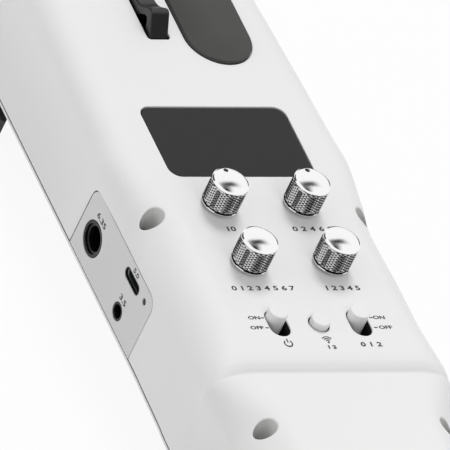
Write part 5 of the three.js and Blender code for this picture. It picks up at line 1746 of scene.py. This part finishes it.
def prints(settings):
    """Plain numbers, ticks and switch words in the places of the face's captions."""
    shapes = []
    for words, places, y, size in FACE_PRINTS:
        for word, x in zip(words, places):
            shapes.append(placed(lettering(word, size * settings.print_scale), x, y))
    for x, y in TICKS:
        shapes.append(stroke([(x - TICK_HALF, y), (x + TICK_HALF, y)], 0.36))
    x, y = POWER_MARK
    shapes.append(stroke(arc(x, y, 1.1, -230, 50, 28), 0.34))
    shapes.append(stroke([(x, y + 0.3), (x, y + 1.6)], 0.34))
    for radius in (0.75, 1.35, 1.95):
        shapes.append(stroke(arc(*WAVE_MARK, radius, 45, 135, 12), 0.32))
    shapes.append(stroke(arc(*WAVE_MARK, 0.16, 0, 350, 12), 0.3))
    united("face_prints", shapes)
    shapes = []
    for word, y, z, size in PANEL_PRINTS:
        shape = placed(lettering(word, size * settings.print_scale), -y, z)
        shapes.append(placed(shape, PANEL_X, 0, 0, TO_SIDE))
    united("panel_prints", shapes)


# Finishes for the parts of the frame that stay as they are
INNER_FINISHES = (
    ("display_module", "can_grey", "socket"),
    ("main_board", "board_green", "board"),
    ("jack_board", "board_green", "board"),
    ("battery_pack", "battery_wrap", "wrap"),
    ("encoder_upper_left", "can_grey", "can"),
    ("encoder_upper_right", "can_grey", "can"),
    ("encoder_lower_left", "can_grey", "can"),
    ("encoder_lower_right", "can_grey", "can"),
    ("slide_switch_left", "can_grey", "switch"),
    ("slide_switch_right", "can_grey", "switch"),
    ("button_switch", "black_plastic", "switch"),
    ("breath_sensor", "black_plastic", "switch"),
)


def inner_parts():
    """Gives each inner part its finish; nothing of its shape changes."""
    for node, slot, material in INNER_FINISHES:
        obj = bpy.data.objects[node]
        obj.data.materials.clear()
        obj.data.materials.append(MATERIALS[material])


# The stage: camera, floor, light and the cards that the chrome reflects
VIEW_RIGHT = Vector((math.cos(math.radians(30)), -0.35355339, 0.35355339))
VIEW_UP = Vector((0.0, math.sqrt(0.5), math.sqrt(0.5)))
VIEW_BACK = Vector((-0.5, -0.61237244, 0.61237244))
LENS = 1500.0
SENSOR = 36.0


def aim(obj, target):
    """Turns a lamp or camera so that it looks at a point."""
    obj.rotation_euler = (target - obj.location).to_track_quat("-Z", "Y").to_euler()


def make_camera(settings):
    data = bpy.data.cameras.new("photo_view")
    data.lens = LENS
    data.sensor_width = SENSOR
    data.clip_start = 0.1
    data.clip_end = 100.0
    camera = bpy.data.objects.new("photo_view", data)
    bpy.context.scene.collection.objects.link(camera)
    turn = Matrix((VIEW_RIGHT, VIEW_UP, VIEW_BACK)).transposed().to_4x4()
    target = DATUM + VIEW_RIGHT * settings.shift_right
    distance = settings.frame_width * LENS / SENSOR
    camera.matrix_world = Matrix.Translation(target + VIEW_BACK * distance) @ turn
    bpy.context.scene.camera = camera


def make_lamp(name, direction, distance, size, power):
    """A soft round lamp in a direction from the datum."""
    data = bpy.data.lights.new(name, "AREA")
    data.shape = "DISK"
    data.size = size
    data.energy = power
    lamp = bpy.data.objects.new(name, data)
    bpy.context.scene.collection.objects.link(lamp)
    lamp.location = DATUM + Vector(direction).normalized() * distance
    lamp.visible_glossy = False
    aim(lamp, DATUM)


def make_world(settings):
    """Even fill for the object; camera and mirror rays see plain white."""
    world = bpy.data.worlds.new("studio")
    bpy.context.scene.world = world
    world.use_nodes = True
    tree = world.node_tree
    tree.nodes.clear()
    path = put(tree, "ShaderNodeLightPath")
    seen = put(
        tree,
        "ShaderNodeMath",
        {0: path.outputs["Is Camera Ray"], 1: path.outputs["Is Transmission Ray"]},
        operation="MAXIMUM",
    )

    def background(colour, strength):
        return put(tree, "ShaderNodeBackground", {"Color": colour, "Strength": strength}).outputs[0]

    fill = background((*settings.fill_colour, 1.0), settings.fill_strength)
    mirror = background(WHITE, settings.mirror_strength)
    first = put(tree, "ShaderNodeMixShader", {0: path.outputs["Is Glossy Ray"], 1: fill, 2: mirror})
    second = put(
        tree, "ShaderNodeMixShader", {0: seen.outputs[0], 1: first.outputs[0], 2: background(WHITE, 1.0)}
    )
    output = put(tree, "ShaderNodeOutputWorld")
    tree.links.new(second.outputs[0], output.inputs["Surface"])


def product(tree, first, second):
    return put(tree, "ShaderNodeMath", {0: first, 1: second}, operation="MULTIPLY").outputs[0]


def make_floor(settings):
    """A wide pale floor that stays nearly white but keeps a faint shadow."""
    deselect()
    bpy.ops.mesh.primitive_grid_add(x_subdivisions=8, y_subdivisions=8, size=14)
    floor = bpy.context.object
    floor.name = "studio_floor"
    material, tree, output = blank_material("studio_paper")
    place = put(tree, "ShaderNodeTexCoord").outputs["Object"]
    tone = put(tree, "ShaderNodeTexNoise", {"Vector": place, "Scale": 3.0, "Detail": 2.0})
    spread = put(
        tree, "ShaderNodeMapRange", {"Value": tone.outputs["Fac"], "To Min": 0.8, "To Max": 0.82}
    )
    paper = put(tree, "ShaderNodeBsdfDiffuse", {"Color": spread.outputs["Result"]})
    glow = put(tree, "ShaderNodeEmission", {"Color": WHITE, "Strength": 1.0})
    path = put(tree, "ShaderNodeLightPath")
    share = product(tree, path.outputs["Is Camera Ray"], settings.floor_white)
    gloss = product(tree, path.outputs["Is Glossy Ray"], settings.floor_mirror)
    both = put(tree, "ShaderNodeMath", {0: share, 1: gloss}, operation="MAXIMUM")
    mix = put(tree, "ShaderNodeMixShader", {0: both.outputs[0], 1: paper.outputs[0], 2: glow.outputs[0]})
    tree.links.new(mix.outputs[0], output.inputs["Surface"])
    floor.data.materials.append(material)


def card_material(name, shade, soft):
    """A grey card that only mirror rays see, soft towards its edges where asked."""
    material, tree, output = blank_material(name)
    place = put(tree, "ShaderNodeTexCoord").outputs["Object"]
    glow = put(tree, "ShaderNodeEmission", {"Color": (shade, shade, shade, 1.0), "Strength": 1.0})
    clear = put(tree, "ShaderNodeBsdfTransparent")
    reach = put(tree, "ShaderNodeLightPath").outputs["Is Glossy Ray"]
    if soft:
        parts = put(tree, "ShaderNodeSeparateXYZ", {0: place})
        for axis in ("X", "Y"):
            size = put(tree, "ShaderNodeMath", {0: parts.outputs[axis]}, operation="ABSOLUTE")
            fade = put(
                tree,
                "ShaderNodeMapRange",
                {"Value": size.outputs[0], "From Min": 1.0, "From Max": 1.0 - soft},
                interpolation_type="SMOOTHSTEP",
            )
            reach = product(tree, reach, fade.outputs["Result"])
    mix = put(tree, "ShaderNodeMixShader", {0: reach, 1: clear.outputs[0], 2: glow.outputs[0]})
    tree.links.new(mix.outputs[0], output.inputs["Surface"])
    return material


CARD_DISTANCE = 1.6
CARD_SOFT = 0.85
CARD_COLUMNS = 12
CARD_ROWS = 4

# Flat cards over the knobs' tops: name, start and end direction, half width, shade
TOP_CARDS = (
    ("card_bar", (0.325, 0.572, 0.79), (0.575, 0.572, 0.595), 0.055, 0.05),
    ("card_stem", (0.44, 0.6, 0.67), (0.31, 0.34, 0.89), 0.08, 0.0),
)

# Curved cards round the sides: name, bearings, heights above the face's level, shade
SIDE_CARDS = (
    ("card_left", 84, 174, -8, 50, 0.04),
    ("card_right", 224, 330, -8, 50, 0.03),
    ("card_far", -10, 84, -20, 14, 0.02),
)


def towards(turn, height):
    """A direction by its bearing and its height, in degrees."""
    a, b = math.radians(turn), math.radians(height)
    return Vector((math.cos(b) * math.cos(a), math.cos(b) * math.sin(a), math.sin(b)))


def top_card(name, start, end, wide, shade):
    """A flat strip between two directions, facing the knobs."""
    deselect()
    bpy.ops.mesh.primitive_grid_add(x_subdivisions=2, y_subdivisions=2, size=2)
    card = bpy.context.object
    card.name = name
    first = DATUM + Vector(start).normalized() * CARD_DISTANCE
    last = DATUM + Vector(end).normalized() * CARD_DISTANCE
    middle = (first + last) / 2
    along = (last - first) / 2
    out = (DATUM - middle).normalized()
    across = out.cross(along).normalized() * wide * CARD_DISTANCE
    card.matrix_world = Matrix((across, along, out)).transposed().to_4x4()
    card.matrix_world.translation = middle
    card.data.materials.append(card_material(name, shade, CARD_SOFT))


def side_card(name, left, right, low, high, shade):
    """A curved sheet round the datum between two bearings and two heights."""
    points = []
    for i in range(CARD_COLUMNS + 1):
        turn = left + (right - left) * i / CARD_COLUMNS
        for j in range(CARD_ROWS + 1):
            height = low + (high - low) * j / CARD_ROWS
            points.append(DATUM + towards(turn, height) * CARD_DISTANCE)
    step = CARD_ROWS + 1
    faces = []
    for i in range(CARD_COLUMNS):
        for j in range(CARD_ROWS):
            a = step * i + j
            faces.append((a, a + 1, a + step + 1, a + step))
    card = new_object(name, points, faces=faces)
    card.data.materials.append(card_material(name, shade, 0.0))


def make_stage(settings):
    """Camera, world, floor, lamps and cards."""
    bpy.context.scene.view_settings.view_transform = "Standard"
    make_camera(settings)
    make_world(settings)
    make_floor(settings)
    make_lamp("key_lamp", (0.15, 0.6, 1.0), 1.3, settings.key_size, settings.key_power)
    make_lamp("side_lamp", (-1.0, 0.1, 0.06), 1.0, 0.4, settings.side_power)
    make_lamp("near_lamp", (0.1, -0.67, 0.74), 0.27, 0.12, settings.near_power)
    for card in TOP_CARDS:
        top_card(*card)
    for card in SIDE_CARDS:
        side_card(*card)


# Settings that a user would change
def colour(name, description, default):
    return bpy.props.FloatVectorProperty(name=name, description=description, default=default,
                                         subtype="COLOR", size=3, min=0.0, max=1.0)


def share(name, description, default, high=1.0):
    return bpy.props.FloatProperty(name=name, description=description, default=default,
                                   subtype="FACTOR", min=0.0, max=high)


def length(name, description, default):
    return bpy.props.FloatProperty(name=name, description=description, default=default,
                                   unit="LENGTH", min=0.0, precision=5)


def power(name, description, default):
    return bpy.props.FloatProperty(name=name, description=description, default=default,
                                   unit="POWER", min=0.0)


class ControllerFinish(bpy.types.PropertyGroup):
    """Colours and gloss of the outer finishes."""

    body_colour: colour("Body", "Colour of the white shells", (0.80, 0.80, 0.80))
    panel_colour: colour("Panel", "Colour of the jack panel", (0.66, 0.66, 0.66))
    black_colour: colour("Black", "Colour of the black plastic", (0.016, 0.016, 0.018))
    rubber_colour: colour("Rubber", "Colour of the soft black pads", (0.048, 0.048, 0.046))
    window_colour: colour("Window", "Colour of the display window", (0.024, 0.024, 0.0235))
    body_roughness: share("Body Roughness", "Roughness of the white plastic", 0.45)


class ControllerShape(bpy.types.PropertyGroup):
    """Sizes of the small forms."""

    hole_round: length("Hole Round", "Round at the edge of the slots and the button's hole", 0.0003)
    knurl_pitch: length("Knurl Pitch", "Distance between the knurl's points", 0.00074)
    knurl_depth: length("Knurl Depth", "Depth of the knurl", 0.00028)
    print_scale: share("Print Scale", "Size of the printed numbers", 1.0, 2.0)


class ControllerStage(bpy.types.PropertyGroup):
    """Camera frame, lamp and floor."""

    frame_width: length("Frame Width", "Width of the picture at the object", 0.1154)
    shift_right: bpy.props.FloatProperty(
        name="Shift Right",
        description="Middle of the picture, right of the datum",
        default=-0.01143,
        unit="LENGTH",
        precision=5,
    )
    key_size: length("Key Size", "Width of the soft key lamp", 0.5)
    key_power: power("Key Power", "Power of the soft key lamp", 8.0)
    side_power: power("Side Power", "Power of the lamp level with the left side", 1.6)
    near_power: power("Near Power", "Power of the lamp by the lower end", 0.09)
    fill_colour: colour("Fill", "Colour of the even fill", (1.0, 1.0, 1.0))
    fill_strength: share("Fill Strength", "Level of the even fill", 0.56, 2.0)
    mirror_strength: share("Mirror Strength", "Level of the surroundings in the chrome", 1.0, 2.0)
    floor_white: share("Floor White", "How far the floor is plain white to the camera", 0.92)
    floor_mirror: share("Floor Mirror", "How far the floor is plain white to the chrome", 0.8)


class CONTROLLER_OT_materials(bpy.types.Operator):
    """Make the finishes and give the inner parts theirs"""

    bl_idname = "controller.materials"
    bl_label = "Finishes"

    def execute(self, context):
        make_materials(context.scene.controller_finish)
        inner_parts()
        return {"FINISHED"}


class CONTROLLER_OT_rear_casing(bpy.types.Operator):
    """Build the rear shell with its openings"""

    bl_idname = "controller.rear_casing"
    bl_label = "Rear Shell"

    def execute(self, context):
        rear_casing(context.scene.controller_shape)
        return {"FINISHED"}


class CONTROLLER_OT_front_casing(bpy.types.Operator):
    """Build the front shell with its rod posts"""

    bl_idname = "controller.front_casing"
    bl_label = "Front Shell"

    def execute(self, context):
        front_casing()
        return {"FINISHED"}


class CONTROLLER_OT_bell_cap(bpy.types.Operator):
    """Build the cap at the bell end"""

    bl_idname = "controller.bell_cap"
    bl_label = "Bell Cap"

    def execute(self, context):
        bell_cap()
        return {"FINISHED"}


class CONTROLLER_OT_jack_panel(bpy.types.Operator):
    """Build the side panel with its holes"""

    bl_idname = "controller.jack_panel"
    bl_label = "Jack Panel"

    def execute(self, context):
        jack_panel()
        seam_gap_shade()
        return {"FINISHED"}


class CONTROLLER_OT_sockets(bpy.types.Operator):
    """Build the sockets and the port behind the panel"""

    bl_idname = "controller.sockets"
    bl_label = "Sockets"

    def execute(self, context):
        sockets()
        return {"FINISHED"}


class CONTROLLER_OT_window(bpy.types.Operator):
    """Build the display window"""

    bl_idname = "controller.window"
    bl_label = "Window"

    def execute(self, context):
        window()
        return {"FINISHED"}


class CONTROLLER_OT_knobs(bpy.types.Operator):
    """Build the four knurled knobs"""

    bl_idname = "controller.knobs"
    bl_label = "Knobs"

    def execute(self, context):
        for node in KNOBS:
            knob(node, context.scene.controller_shape, "upper" in node)
        return {"FINISHED"}


class CONTROLLER_OT_switches(bpy.types.Operator):
    """Build the slider caps, the button and their frames"""

    bl_idname = "controller.switches"
    bl_label = "Switches"

    def execute(self, context):
        for node in SLIDES:
            round_cap(node)
        centre_button()
        slide_frames()
        return {"FINISHED"}


class CONTROLLER_OT_thumb_pad(bpy.types.Operator):
    """Build the soft thumb pad"""

    bl_idname = "controller.thumb_pad"
    bl_label = "Thumb Pad"

    def execute(self, context):
        thumb_pad()
        return {"FINISHED"}


class CONTROLLER_OT_thumb_lever(bpy.types.Operator):
    """Build the thumb lever"""

    bl_idname = "controller.thumb_lever"
    bl_label = "Thumb Lever"

    def execute(self, context):
        thumb_lever()
        return {"FINISHED"}


class CONTROLLER_OT_screws(bpy.types.Operator):
    """Build the case screws"""

    bl_idname = "controller.screws"
    bl_label = "Case Screws"

    def execute(self, context):
        case_screws()
        return {"FINISHED"}


class CONTROLLER_OT_prints(bpy.types.Operator):
    """Print the numbers, ticks and switch words"""

    bl_idname = "controller.prints"
    bl_label = "Prints"

    def execute(self, context):
        prints(context.scene.controller_shape)
        return {"FINISHED"}


class CONTROLLER_OT_pins_and_rods(bpy.types.Operator):
    """Build the steel pins and key rods"""

    bl_idname = "controller.pins_and_rods"
    bl_label = "Pins and Rods"

    def execute(self, context):
        pins_and_rods()
        return {"FINISHED"}


class CONTROLLER_OT_left_thumb(bpy.types.Operator):
    """Build the left thumb rest and the octave keys"""

    bl_idname = "controller.left_thumb"
    bl_label = "Left Thumb"

    def execute(self, context):
        left_thumb_rest()
        octave_keys()
        return {"FINISHED"}


class CONTROLLER_OT_strap_loop(bpy.types.Operator):
    """Build the strap ring on its plate"""

    bl_idname = "controller.strap_loop"
    bl_label = "Strap Ring"

    def execute(self, context):
        strap_loop()
        return {"FINISHED"}


class CONTROLLER_OT_finger_keys(bpy.types.Operator):
    """Build the finger keys and the side key"""

    bl_idname = "controller.finger_keys"
    bl_label = "Finger Keys"

    def execute(self, context):
        finger_keys()
        side_key()
        return {"FINISHED"}


class CONTROLLER_OT_rest_bars(bpy.types.Operator):
    """Build the soft bars that the instrument lies on"""

    bl_idname = "controller.rest_bars"
    bl_label = "Rest Bars"

    def execute(self, context):
        rest_bars()
        return {"FINISHED"}


class CONTROLLER_OT_neck(bpy.types.Operator):
    """Build the neck and its collar"""

    bl_idname = "controller.neck"
    bl_label = "Neck"

    def execute(self, context):
        neck_tube()
        neck_collar()
        return {"FINISHED"}


class CONTROLLER_OT_mouthpiece(bpy.types.Operator):
    """Build the mouthpiece and its reed"""

    bl_idname = "controller.mouthpiece"
    bl_label = "Mouthpiece"

    def execute(self, context):
        mouthpiece()
        reed_bar()
        return {"FINISHED"}


class CONTROLLER_OT_stage(bpy.types.Operator):
    """Set up the camera, the light and the floor"""

    bl_idname = "controller.stage"
    bl_label = "Stage"

    def execute(self, context):
        make_stage(context.scene.controller_stage)
        return {"FINISHED"}


STEPS = (
    CONTROLLER_OT_materials,
    CONTROLLER_OT_rear_casing,
    CONTROLLER_OT_front_casing,
    CONTROLLER_OT_bell_cap,
    CONTROLLER_OT_jack_panel,
    CONTROLLER_OT_sockets,
    CONTROLLER_OT_window,
    CONTROLLER_OT_knobs,
    CONTROLLER_OT_switches,
    CONTROLLER_OT_thumb_pad,
    CONTROLLER_OT_thumb_lever,
    CONTROLLER_OT_screws,
    CONTROLLER_OT_prints,
    CONTROLLER_OT_pins_and_rods,
    CONTROLLER_OT_left_thumb,
    CONTROLLER_OT_strap_loop,
    CONTROLLER_OT_finger_keys,
    CONTROLLER_OT_rest_bars,
    CONTROLLER_OT_neck,
    CONTROLLER_OT_mouthpiece,
    CONTROLLER_OT_stage,
)


class CONTROLLER_PT_steps(bpy.types.Panel):
    """The sizes and finishes, and a button for each step"""

    bl_idname = "CONTROLLER_PT_steps"
    bl_label = "Wind Controller"
    bl_space_type = "VIEW_3D"
    bl_region_type = "UI"
    bl_category = "Controller"

    def draw(self, context):
        scene = context.scene
        for group in (scene.controller_finish, scene.controller_shape, scene.controller_stage):
            box = self.layout.box()
            for key in group.__annotations__:
                box.prop(group, key)
        column = self.layout.column(align=True)
        for step in STEPS:
            column.operator(step.bl_idname)


GROUP_CLASSES = (ControllerFinish, ControllerShape, ControllerStage)
CLASSES = (*GROUP_CLASSES, *STEPS, CONTROLLER_PT_steps)


def register():
    for cls in CLASSES:
        bpy.utils.register_class(cls)
    for name, group in zip(("finish", "shape", "stage"), GROUP_CLASSES):
        setattr(bpy.types.Scene, f"controller_{name}", bpy.props.PointerProperty(type=group))


def unregister():
    for name in ("finish", "shape", "stage"):
        delattr(bpy.types.Scene, f"controller_{name}")
    for cls in reversed(CLASSES):
        bpy.utils.unregister_class(cls)


def main():
    register()
    for step in STEPS:
        getattr(bpy.ops.controller, step.bl_idname.split(".")[1])()


if __name__ == "__main__":
    main()
